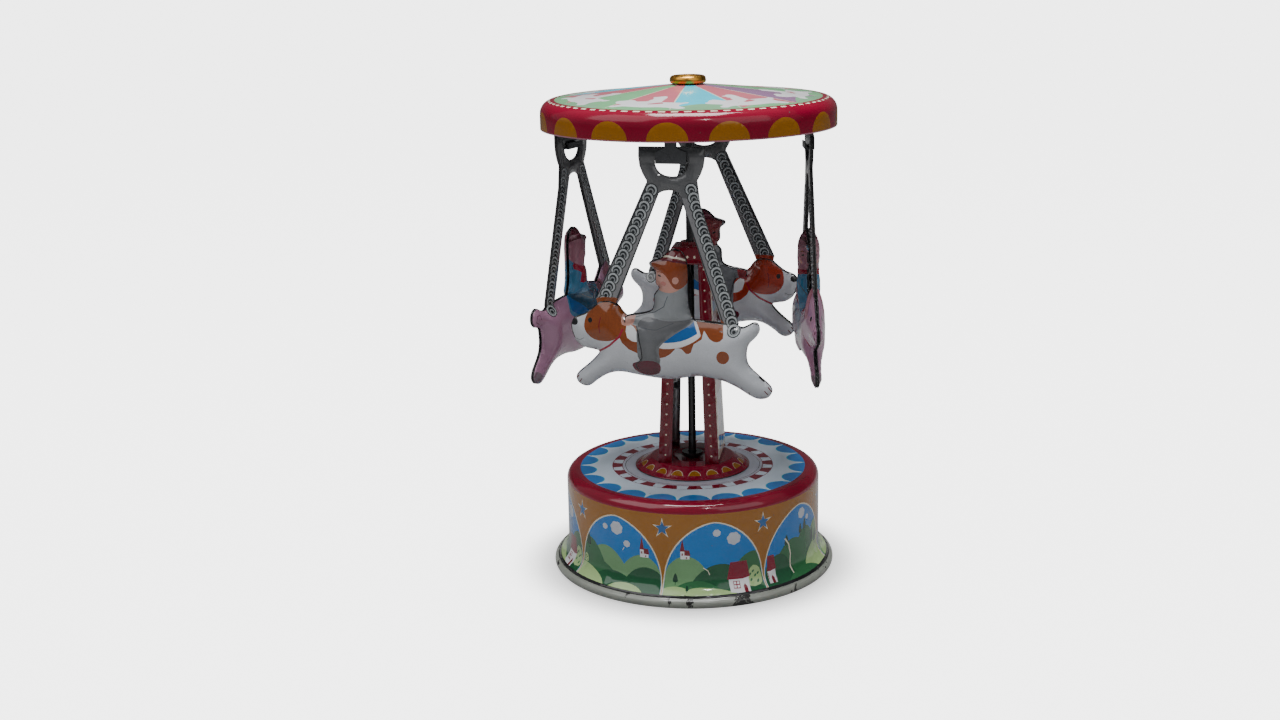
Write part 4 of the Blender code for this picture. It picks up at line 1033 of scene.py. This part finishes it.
PIG_PRINTS = [
    ("area", "pig_pink", 2, PIG),
    ("area", "rose", 3, [
        (-20.4, 110.6), (-22.8, 106.6), (-26, 103.4), (-28, 106), (-27.2, 110), (-24.8, 114.6)]),
    ("line", "pig_dark", 0.34, [
        (-20.6, 110.2), (-23.2, 106.4), (-26.2, 103.6), (-28, 106.2), (-27.2, 110.2)]),
    ("spot", "black", None, (-31.4, 104.8, 0.8, 0.95, 10)),
    ("line", "pig_dark", 0.34, [(-36.2, 103.6), (-36.6, 100.2), (-36.2, 97)]),
    ("spot", "pig_dark", None, (-38.2, 101.2, 0.45, 0.7, 8)),
    ("spot", "pig_dark", None, (-38.2, 98.8, 0.45, 0.7, 8)),
    ("line", "pig_dark", 0.34, [(-35, 96.6), (-32.4, 97.2), (-30.8, 98.8)]),
    ("area", "jacket", 3, [
        (7, 108.2), (11.2, 103), (10.4, 100), (3.4, 97.2), (-4, 96.6), (-6.6, 98.4), (-4.4, 101.8),
        (2, 105)]),
    ("area", "saddle_blue", 3, [
        (6.2, 108.4), (9.8, 103.4), (9, 101.2), (3.2, 98.8), (-3.6, 98.2), (-3.8, 101), (2.4, 105)]),
    ("line", "pig_dark", 0.36, [(30.6, 100.6), (32.6, 101.6), (32.4, 104), (30.4, 104.2), (30.2, 102.4)]),
    ("line", "scarf", 0.6, [(-27, 93.6), (-22.4, 97), (-19, 101.4)]),
    ("spot", "hoof", None, (-34.3, 82, 2.5, 3, 14, 45)),
    ("spot", "hoof", None, (33.4, 80.4, 2.5, 3, 14, -45)),
]
RIDER_PRINTS = [
    ("area", "coat", 2, RIDER),
    ("area", "trousers", 3, [
        (-1, 107), (-9, 108), (-12.6, 105.4), (-12.6, 99), (-11.6, 92), (-4.4, 91.2), (-4.4, 97.4),
        (1.4, 102.4), (6.6, 105.6), (6.8, 107.4)]),
    ("area", "shoe", 3, [(-14.4, 91), (-13.6, 88), (-9.6, 86.4), (-5, 87.6), (-4.4, 91.2), (-8.6, 92.4)]),
    ("area", "face", 3, [(-14, 109), (-18.4, 108.4), (-18.4, 104.8), (-14.6, 105)]),
    ("line", "crease", 0.3, [(-1.2, 116), (-2.6, 112.2), (-6.4, 109.8), (-13.6, 107.6)]),
    ("line", "crease", 0.28, [(-11.6, 104), (-5.6, 103.6), (0.6, 106.2)]),
]
TIE_PRINTS = [
    ("area", "tie", 2, [
        (-6.4, 118.8), (-0.6, 117.2), (3.8, 119.2), (4, 116.6), (1.2, 115), (2, 111.4), (-0.8, 111.2),
        (-1.4, 115), (-6.2, 116.2)]),
]
FACE_PRINTS = [
    ("area", "face", 3, [
        (-6.6, 125.4), (-7, 120.6), (-5.6, 118), (-2, 117.2), (2, 117.8), (4.6, 120.6), (5.4, 124.6),
        (0, 126)]),
    ("area", "locks", 3, [
        (-6.8, 125.6), (-3.4, 124.4), (-1, 122.4), (0.6, 119.6), (2.4, 118.4), (4.8, 119.8), (6.2, 124),
        (4.6, 128.4), (-2, 128.6), (-7.2, 127.6)]),
    ("area", "cap", 3, [
        (-9.4, 127.2), (-4.8, 128), (-1, 128.6), (3.6, 127.8), (6.4, 126.6), (6, 131), (1, 134), (-4, 131.6),
        (-9, 128.6)]),
    ("line", "shoe", 0.5, [(-8.6, 127.4), (-4.6, 128.2), (-1, 128.7), (3, 128), (5.8, 126.9)]),
    ("line", "stripe", 0.6, [(-4.6, 129.5), (-1.2, 130), (2.6, 129.4), (5.6, 128.1)]),
    ("spot", "black", None, (-4.4, 123, 0.75, 0.35, 8, -12)),
    ("line", "hair", 0.28, [(-5.4, 124.2), (-4.2, 124.5), (-3.2, 124.1)]),
    ("spot", "lip", None, (-6.2, 119.3, 0.55, 0.35, 8)),
    ("spot", "lip_soft", None, (-2.8, 120.4, 1.1, 0.85, 10)),
    ("spot", "face", None, (1.6, 121.6, 1.1, 1.3, 10)),
]
LOOKS = {
    "front": {"coat": "sweater", "trousers": "breeches", "locks": "hair", "cap": "cap_red",
              "stripe": "cream", "face": "skin", "patch": "dog_orange"},
    # the rear rider's face and hair are a darker pink: painted shade
    "rear": {"coat": "grey_cloth", "trousers": "grey_cloth", "locks": "rear_head_in_shade", "cap": "maroon",
             "stripe": "rose", "face": "rear_head_in_shade", "patch": "dog_rust"},
    "right": {"coat": "jacket", "trousers": "jacket", "locks": "mauve_skin", "cap": "maroon",
              "stripe": "rose", "face": "mauve_skin", "tie": "scarf"},
    "left": {"coat": "jacket", "trousers": "jacket_dark", "locks": "mauve_skin", "cap": "maroon",
             "stripe": "rose", "face": "mauve_skin", "tie": "scarf"},
}
# Toes: ink, width, drop and places. Edge: width of the black line round the upper side.
ANIMALS = {
    "dog": {"outline": DOG, "prints": DOG_PRINTS, "edge": 0.45,
            "toes": ("cap_red", 0.30, 1.6, [(-35.6, 85), (-34.4, 83.8), (34.2, 84), (33, 82.8)])},
    "pig": {"outline": PIG, "prints": PIG_PRINTS, "edge": 0.2,
            "toes": ("pig_dark", 0.34, 1.8, [(-34.8, 83.8), (33.6, 82.8)])},
}

ARM_GROUNDS = (
    [(-8.8, 152.2), (-28.6, 113.6), (-27.5, 109.5), (-22.3, 109.5), (-5.6, 150)],
    [(9.6, 150), (23.5, 106.2), (22, 103), (18.5, 103), (3.4, 150.4)])
ARM_EDGES = (
    [(-9.2, 153.9), (-28.4, 113.8)], [(-5, 151.4), (-22.1, 110.6)],
    [(9.7, 148.6), (23.1, 107)], [(3.2, 150.9), (18.6, 104.6)])
CHAINS = {"head": ((-7.3, 153), (-25.9, 112.4), 15), "tail": ((7, 153.4), (22.1, 104.2), 18)}
# Rings of one link, from the outside in: radius, how far the middle slips down the chain, and ink.
LINK = ((2.40, 0.0, "chain_dark"), (2.02, 0.0, "chain_light"), (1.42, 0.12, "chain_dark"),
        (1.02, 0.45, "chain_mid"), (0.62, 0.55, "chain_dark"))


def chain_prints(arm_top, arm_low, count):
    """Overlapping printed chain links from the top of an arm to its foot, each over the one above."""
    prints = []
    top, low = np.array(arm_top), np.array(arm_low)
    down = (low - top) / np.hypot(*(low - top))
    for i in range(count):
        middle = top + (low - top) * i / (count - 1)
        for radius, slip, ink in LINK:
            x, z = middle + down * slip
            prints.append((ellipse(x, z, radius, radius, 14), ink))
    return prints


def drawn(rows, look):
    """Prints from their rows, in the look's inks."""
    prints = []
    for kind, ink, detail, numbers in rows:
        if kind == "area":
            shape = smooth(numbers, detail)
        elif kind == "line":
            shape = stroke(numbers, detail)
        else:
            shape = ellipse(*numbers)
        prints.append((shape, look.get(ink, ink)))
    return prints


def toe_prints(ink, width, drop, places):
    """Short lines that part the toes, leaning outwards."""
    return [(stroke([(x, z), (x + math.copysign(1.2, x), z - drop)], width), ink) for x, z in places]


def edge_lines(outline, width):
    """Black lines printed along the edges of an outline that face up or towards the head."""
    lines = []
    outline = counter_clockwise(outline)
    for (ax, az), (bx, bz) in zip(outline, outline[1:] + outline[:1]):
        run = math.hypot(bx - ax, bz - az) + 1e-9
        out_x, out_z = (bz - az) / run, (ax - bx) / run
        if out_z - 0.8 * out_x > 0.25:
            lines.append(([(ax, az), (bx, bz), (bx - out_x * width, bz - out_z * width),
                           (ax - out_x * width, az - out_z * width)], "black"))
    return lines


def swing_prints(station, kind):
    """Everything printed on one half of a swing."""
    look, animal = LOOKS[station], ANIMALS[kind]
    prints = [(arm, "arm_grey") for arm in (HANGER, HEAD_ARM, TAIL_ARM)]
    prints += [(ground, "arm_side") for ground in ARM_GROUNDS]
    prints += chain_prints(*CHAINS["head"])
    prints += [(stroke(edge, 0.45), "chain_dark") for edge in ARM_EDGES]
    prints += drawn(animal["prints"], look) + toe_prints(*animal["toes"])
    prints += edge_lines(smooth(animal["outline"], 2), animal["edge"])
    prints += chain_prints(*CHAINS["tail"])
    tie = TIE_PRINTS if "tie" in look else []
    prints += drawn(RIDER_PRINTS + tie + FACE_PRINTS, look)
    return prints + edge_lines(smooth(RIDER, 2), 0.4)


# The swings hang on a circle; each has an angle round it, a twist on its hook (degrees) and an animal.
SWING_RING = 44.7
STATIONS = {"front": (0.0, 6.5, "dog"), "right": (90.0, -9.0, "pig"), "rear": (180.0, 5.0, "dog"),
            "left": (270.0, 17.0, "pig")}
PLATE = {"half": 0.6, "thickness": 0.55}
# Height of the pressing and how far from its outline it rises, mm; it is shallower towards head and tail.
BULGES = {"animal": (3.8, 9.0), "rider": (4.0, 8.0)}
SHALLOW = {"from": 20.0, "run": 10.0, "share": 0.37}
RIB = {"height": 0.45, "reach": 2.2, "side": 1.6,
       "lines": (((-8.6, 147.0), (-25.0, 112.5)), ((6.9, 147.0), (20.2, 107.0))),
       "points": (((-8.2, 147.0), (-25.0, 112.5)), ((6.6, 147.0), (20.2, 107.0)))}


def swing_relief(points, animal):
    """How far the pressed tin stands from the mid plane, mm."""
    height = np.full(len(points), PLATE["half"])
    past = np.clip((np.abs(points[:, 0]) - SHALLOW["from"]) / SHALLOW["run"], 0.0, 1.0)
    shallow = 1.0 - SHALLOW["share"] * past
    for shape, (bulge, reach) in ((animal, BULGES["animal"]), (RIDER, BULGES["rider"])):
        outline = smooth(shape, 3)
        share = 1.0 - np.clip(edge_distance(points, outline) / reach, 0.0, 1.0)
        lift = PLATE["half"] + bulge * shallow * np.clip(1.0 - share ** 2, 0.0, 1.0) ** 0.9
        height = np.where(inside(points, outline), np.maximum(height, lift), height)
    for start, end in RIB["lines"]:
        share = 1.0 - np.clip(edge_distance(points, [start, end, start]) / RIB["reach"], 0.0, 1.0)
        height = np.maximum(height, PLATE["half"] + RIB["height"] * np.sin(share * math.pi / 2) ** 2)
    return height


def swing_airbrush_and_painted_shade(points, animal):
    """The print's airbrushing with painted shade over it: darker towards the outlines, where the pressing
    turns away, and under the belly.
    """
    tone = np.ones(len(points))
    for outline, depth, reach in ((smooth(animal, 3), 0.20, 4.0), (smooth(RIDER, 3), 0.30, 3.6)):
        share = np.clip(edge_distance(points, outline) / reach, 0.0, 1.0)
        tone = np.where(inside(points, outline), 1.0 - depth * (1.0 - share) ** 1.5, tone)
    # painted shade: darker towards the bottom, under the belly
    low = np.clip((96.0 - points[:, 1]) / 14.0, 0.0, 1.0)
    return tone * (1.0 - 0.10 * low)


def rib_points():
    """Free points along the arms' ribs and on either side of them, for the relief to lift."""
    points = []
    for (ax, az), (bx, bz) in RIB["points"]:
        for t in np.linspace(0.0, 1.0, 14):
            x, z = ax + (bx - ax) * t, az + (bz - az) * t
            points += [(x - RIB["side"], z), (x, z), (x + RIB["side"], z)]
    return points


def swing_cut(station, kind):
    """The triangulated print of one half, with its relief: made once and used for both sides."""
    animal = ANIMALS[kind]["outline"]
    pressed = [smooth(animal, 3), smooth(RIDER, 3)]
    step = 1.5
    xs, zs = np.meshgrid(np.arange(-39.0, 36.0, step), np.arange(78.0, 133.0, step))
    grid = np.stack((xs.ravel() + 0.37 * ((zs.ravel() / step) % 2), zs.ravel()), axis=1)
    clear = np.zeros(len(grid), bool)
    for outline in pressed:
        clear |= inside(grid, outline) & (edge_distance(grid, outline) > 0.5)
    free = [tuple(point) for point in grid[clear]] + rib_points()
    sheets = [dense(outline, step, step) for outline in [HANGER, HEAD_ARM, TAIL_ARM] + pressed]
    prints = [(dense(polygon, 2.0, 2.0), ink) for polygon, ink in swing_prints(station, kind)]
    flat, kept = triangulate(sheets, [dense(WINDOW, step, step)], prints, free)
    return flat, kept, swing_relief(flat, animal), swing_airbrush_and_painted_shade(flat, animal)


def swing_half(name, node, station, cut, side):
    """One pressed half, placed on its hook: side -1 is the outer half and 1 the inner."""
    flat, kept, height, tone = cut
    heights = {tuple(p): h for p, h in zip(flat, height)}
    airbrush_and_shade_at = {tuple(p): t for p, t in zip(flat, tone)}
    angle, twist, _ = STATIONS[station]
    turn, heading = math.radians(angle), math.radians(angle - twist)

    def place(points):
        x, y = points[:, 0], side * np.array([heights[tuple(p)] for p in points])
        return np.stack((SWING_RING * math.sin(turn) + x * math.cos(heading) - y * math.sin(heading),
                         -SWING_RING * math.cos(turn) + x * math.sin(heading) + y * math.cos(heading),
                         points[:, 1]), axis=1)

    # airbrushing and painted shade of the print for each point
    def shade(points):
        return np.array([airbrush_and_shade_at[tuple(p)] for p in points])

    piece = sheet_object(name, flat, kept, place, shade, PLATE["thickness"], base="arm_grey", flip=side > 0)
    ride(piece, f"swing_{station}", node)


def make_swings():
    for station, (_, _, kind) in STATIONS.items():
        cut = swing_cut(station, kind)
        for half, side in (("outer", -1), ("inner", 1)):
            node = f"{kind}_{station}_{half}"
            swing_half(f"{node}_printed", node, station, cut, side)


# ---------------------------------------------------------------- carried-over pieces

NODE_MATERIALS = (
    (BLACK_STEEL, ("shaft", "lower_bush")),
    (RED_PAINT, ("upper_bush",)),
    (HOOK_TIN, ("hook_front", "hook_right", "hook_rear", "hook_left")),
    (PLAIN_TIN, ("spider", "canopy_collar", "spider_collar")),
    (BLACK_BOARD, ("bottom_plate", "bed_spacer_1", "bed_spacer_2", "bed_spacer_3")),
    (CAST, ("bedplate", "rear_plate", "front_bearing", "comb_base")),
    (BRASS, ("key_bush", "footstep_bearing", "spring_barrel", "crown_wheel", "great_wheel", "music_cylinder",
             "cylinder_gear", "shaft_pinion")),
    (STEEL, ("comb", "comb_screw_1", "comb_screw_2", "click", "winding_key", "key_arbor", "ratchet_wheel",
             "mainspring", "cylinder_arbor", "governor_pinion", "governor_fan", "governor_arbor")),
)


def finish_cad_nodes():
    for material, names in NODE_MATERIALS:
        for name in names:
            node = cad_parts[name]
            if not node.material_slots:
                node.data.materials.append(material)
            for slot in node.material_slots:
                slot.link = "OBJECT"
                slot.material = material


# ---------------------------------------------------------------- studio

STUDIO = {"floor_glow": 4.1, "sky": 0.20, "lamps": 0.40}
# Painted contact shadow: the floor's glow falls to this share under the toy, between the two distances from
# its middle, m.
PAINTED_CONTACT_SHADOW = {"share": 0.25, "near": 0.050, "far": 0.078}
FLOOR = {"half": 6.0, "front": -8.0, "bend": 1.6, "radius": 0.8, "top": 3.2}
# Name, place and size in m, and power.
LAMPS = (
    ("key", (-0.7, -0.5, 1.1), 1.1, 16.0),
    ("fill", (0.9, -0.7, 0.8), 1.0, 7.0),
    ("top", (0.0, 0.05, 1.3), 0.6, 60.0),
    ("spark", (0.25, -0.6, 0.75), 0.06, 1.5),
)


def floor_paint():
    """Pale paper that glows for the camera only, with a painted shadow close round the toy."""
    material, tree, shader = new_material("studio_floor")
    tone = remap(tree, noise(tree, 3.0, 2.0), 0.3, 0.7, 0.24, 0.26)
    tree.links.new(grey(tree, tone), shader.inputs["Base Color"])
    shader.inputs["Roughness"].default_value = 0.6
    rays = tree.nodes.new("ShaderNodeLightPath")
    coordinates = tree.nodes.new("ShaderNodeTexCoord")
    away = tree.nodes.new("ShaderNodeVectorMath")
    away.operation = "LENGTH"
    tree.links.new(coordinates.outputs["Object"], away.inputs[0])
    # painted contact shadow: less glow close round the toy
    shade = remap(tree, away.outputs["Value"], PAINTED_CONTACT_SHADOW["near"], PAINTED_CONTACT_SHADOW["far"],
                  PAINTED_CONTACT_SHADOW["share"] * STUDIO["floor_glow"], STUDIO["floor_glow"], "SMOOTHERSTEP")
    glow = tree.nodes.new("ShaderNodeMath")
    glow.operation = "MULTIPLY"
    tree.links.new(rays.outputs["Is Camera Ray"], glow.inputs[0])
    tree.links.new(shade, glow.inputs[1])
    shader.inputs["Emission Color"].default_value = (1.0, 1.0, 1.0, 1.0)
    tree.links.new(glow.outputs["Value"], shader.inputs["Emission Strength"])
    return material


def make_floor():
    """A floor that bends up into a back wall."""
    bend, radius = FLOOR["bend"], FLOOR["radius"]
    depth = [(FLOOR["front"], 0.0), (bend, 0.0)]
    depth += [(bend + radius * math.sin(a), radius - radius * math.cos(a))
              for a in np.linspace(0.1, math.pi / 2, 12)]
    depth.append((bend + radius, FLOOR["top"]))
    work = bmesh.new()
    rows = [[work.verts.new((x, y, z)) for y, z in depth] for x in (-FLOOR["half"], FLOOR["half"])]
    for i in range(len(depth) - 1):
        work.faces.new((rows[0][i], rows[1][i], rows[1][i + 1], rows[0][i + 1]))
    mesh = bpy.data.meshes.new("studio_floor")
    work.to_mesh(mesh)
    work.free()
    mesh.shade_smooth()
    mesh.materials.append(floor_paint())
    floor = bpy.data.objects.new("studio_floor", mesh)
    floor.rotation_euler = (0.0, 0.0, math.radians(-TURN))
    bpy.context.scene.collection.objects.link(floor)


def make_world():
    """A dim sky for the toy that is as bright as the floor to the camera."""
    world = bpy.data.worlds.new("studio")
    world.use_nodes = True
    nodes, links = world.node_tree.nodes, world.node_tree.links
    background = nodes["Background"]
    background.inputs["Color"].default_value = (0.95, 0.97, 1.0, 1.0)
    rays = nodes.new("ShaderNodeLightPath")
    strength = nodes.new("ShaderNodeMapRange")
    strength.inputs["To Min"].default_value = STUDIO["sky"]
    strength.inputs["To Max"].default_value = STUDIO["floor_glow"]
    links.new(rays.outputs["Is Camera Ray"], strength.inputs["Value"])
    links.new(strength.outputs["Result"], background.inputs["Strength"])
    bpy.context.scene.world = world


def make_lamps():
    for name, place, size, power in LAMPS:
        data = bpy.data.lights.new(name, "AREA")
        data.size = size
        data.energy = power * STUDIO["lamps"]
        lamp = bpy.data.objects.new(name, data)
        lamp.location = place
        aim = Vector((0.0, 0.0, 0.09)) - lamp.location
        lamp.rotation_euler = aim.to_track_quat("-Z", "Y").to_euler()
        bpy.context.scene.collection.objects.link(lamp)


CAMERA = {"distance": 0.6188, "height": 0.2378, "pitch": 0.248, "aside": 0.0197, "roll": 0.020,
          "focal": 46.7}


def make_camera():
    """Camera looking at the toy from in front, a little to its left, in the toy's own frame."""
    data = bpy.data.cameras.new("camera")
    data.sensor_width = 36.0
    data.lens = CAMERA["focal"]
    data.clip_start = 0.01
    camera = bpy.data.objects.new("camera", data)
    turn = Matrix.Rotation(math.radians(TURN), 4, "Z")
    place = turn @ Vector((-CAMERA["aside"], -CAMERA["distance"], CAMERA["height"]))
    upright = Matrix.Rotation(math.pi / 2 - CAMERA["pitch"], 4, "X")
    rolled = Matrix.Rotation(-CAMERA["roll"], 4, "Z")
    camera.matrix_world = Matrix.Translation(place) @ turn @ upright @ rolled
    bpy.context.scene.collection.objects.link(camera)
    bpy.context.scene.camera = camera


make_camera()
make_drum()
make_rim()
make_foot()
make_tower()
make_tower_cap()
make_canopy()
make_swings()
finish_cad_nodes()
make_floor()
make_world()
make_lamps()
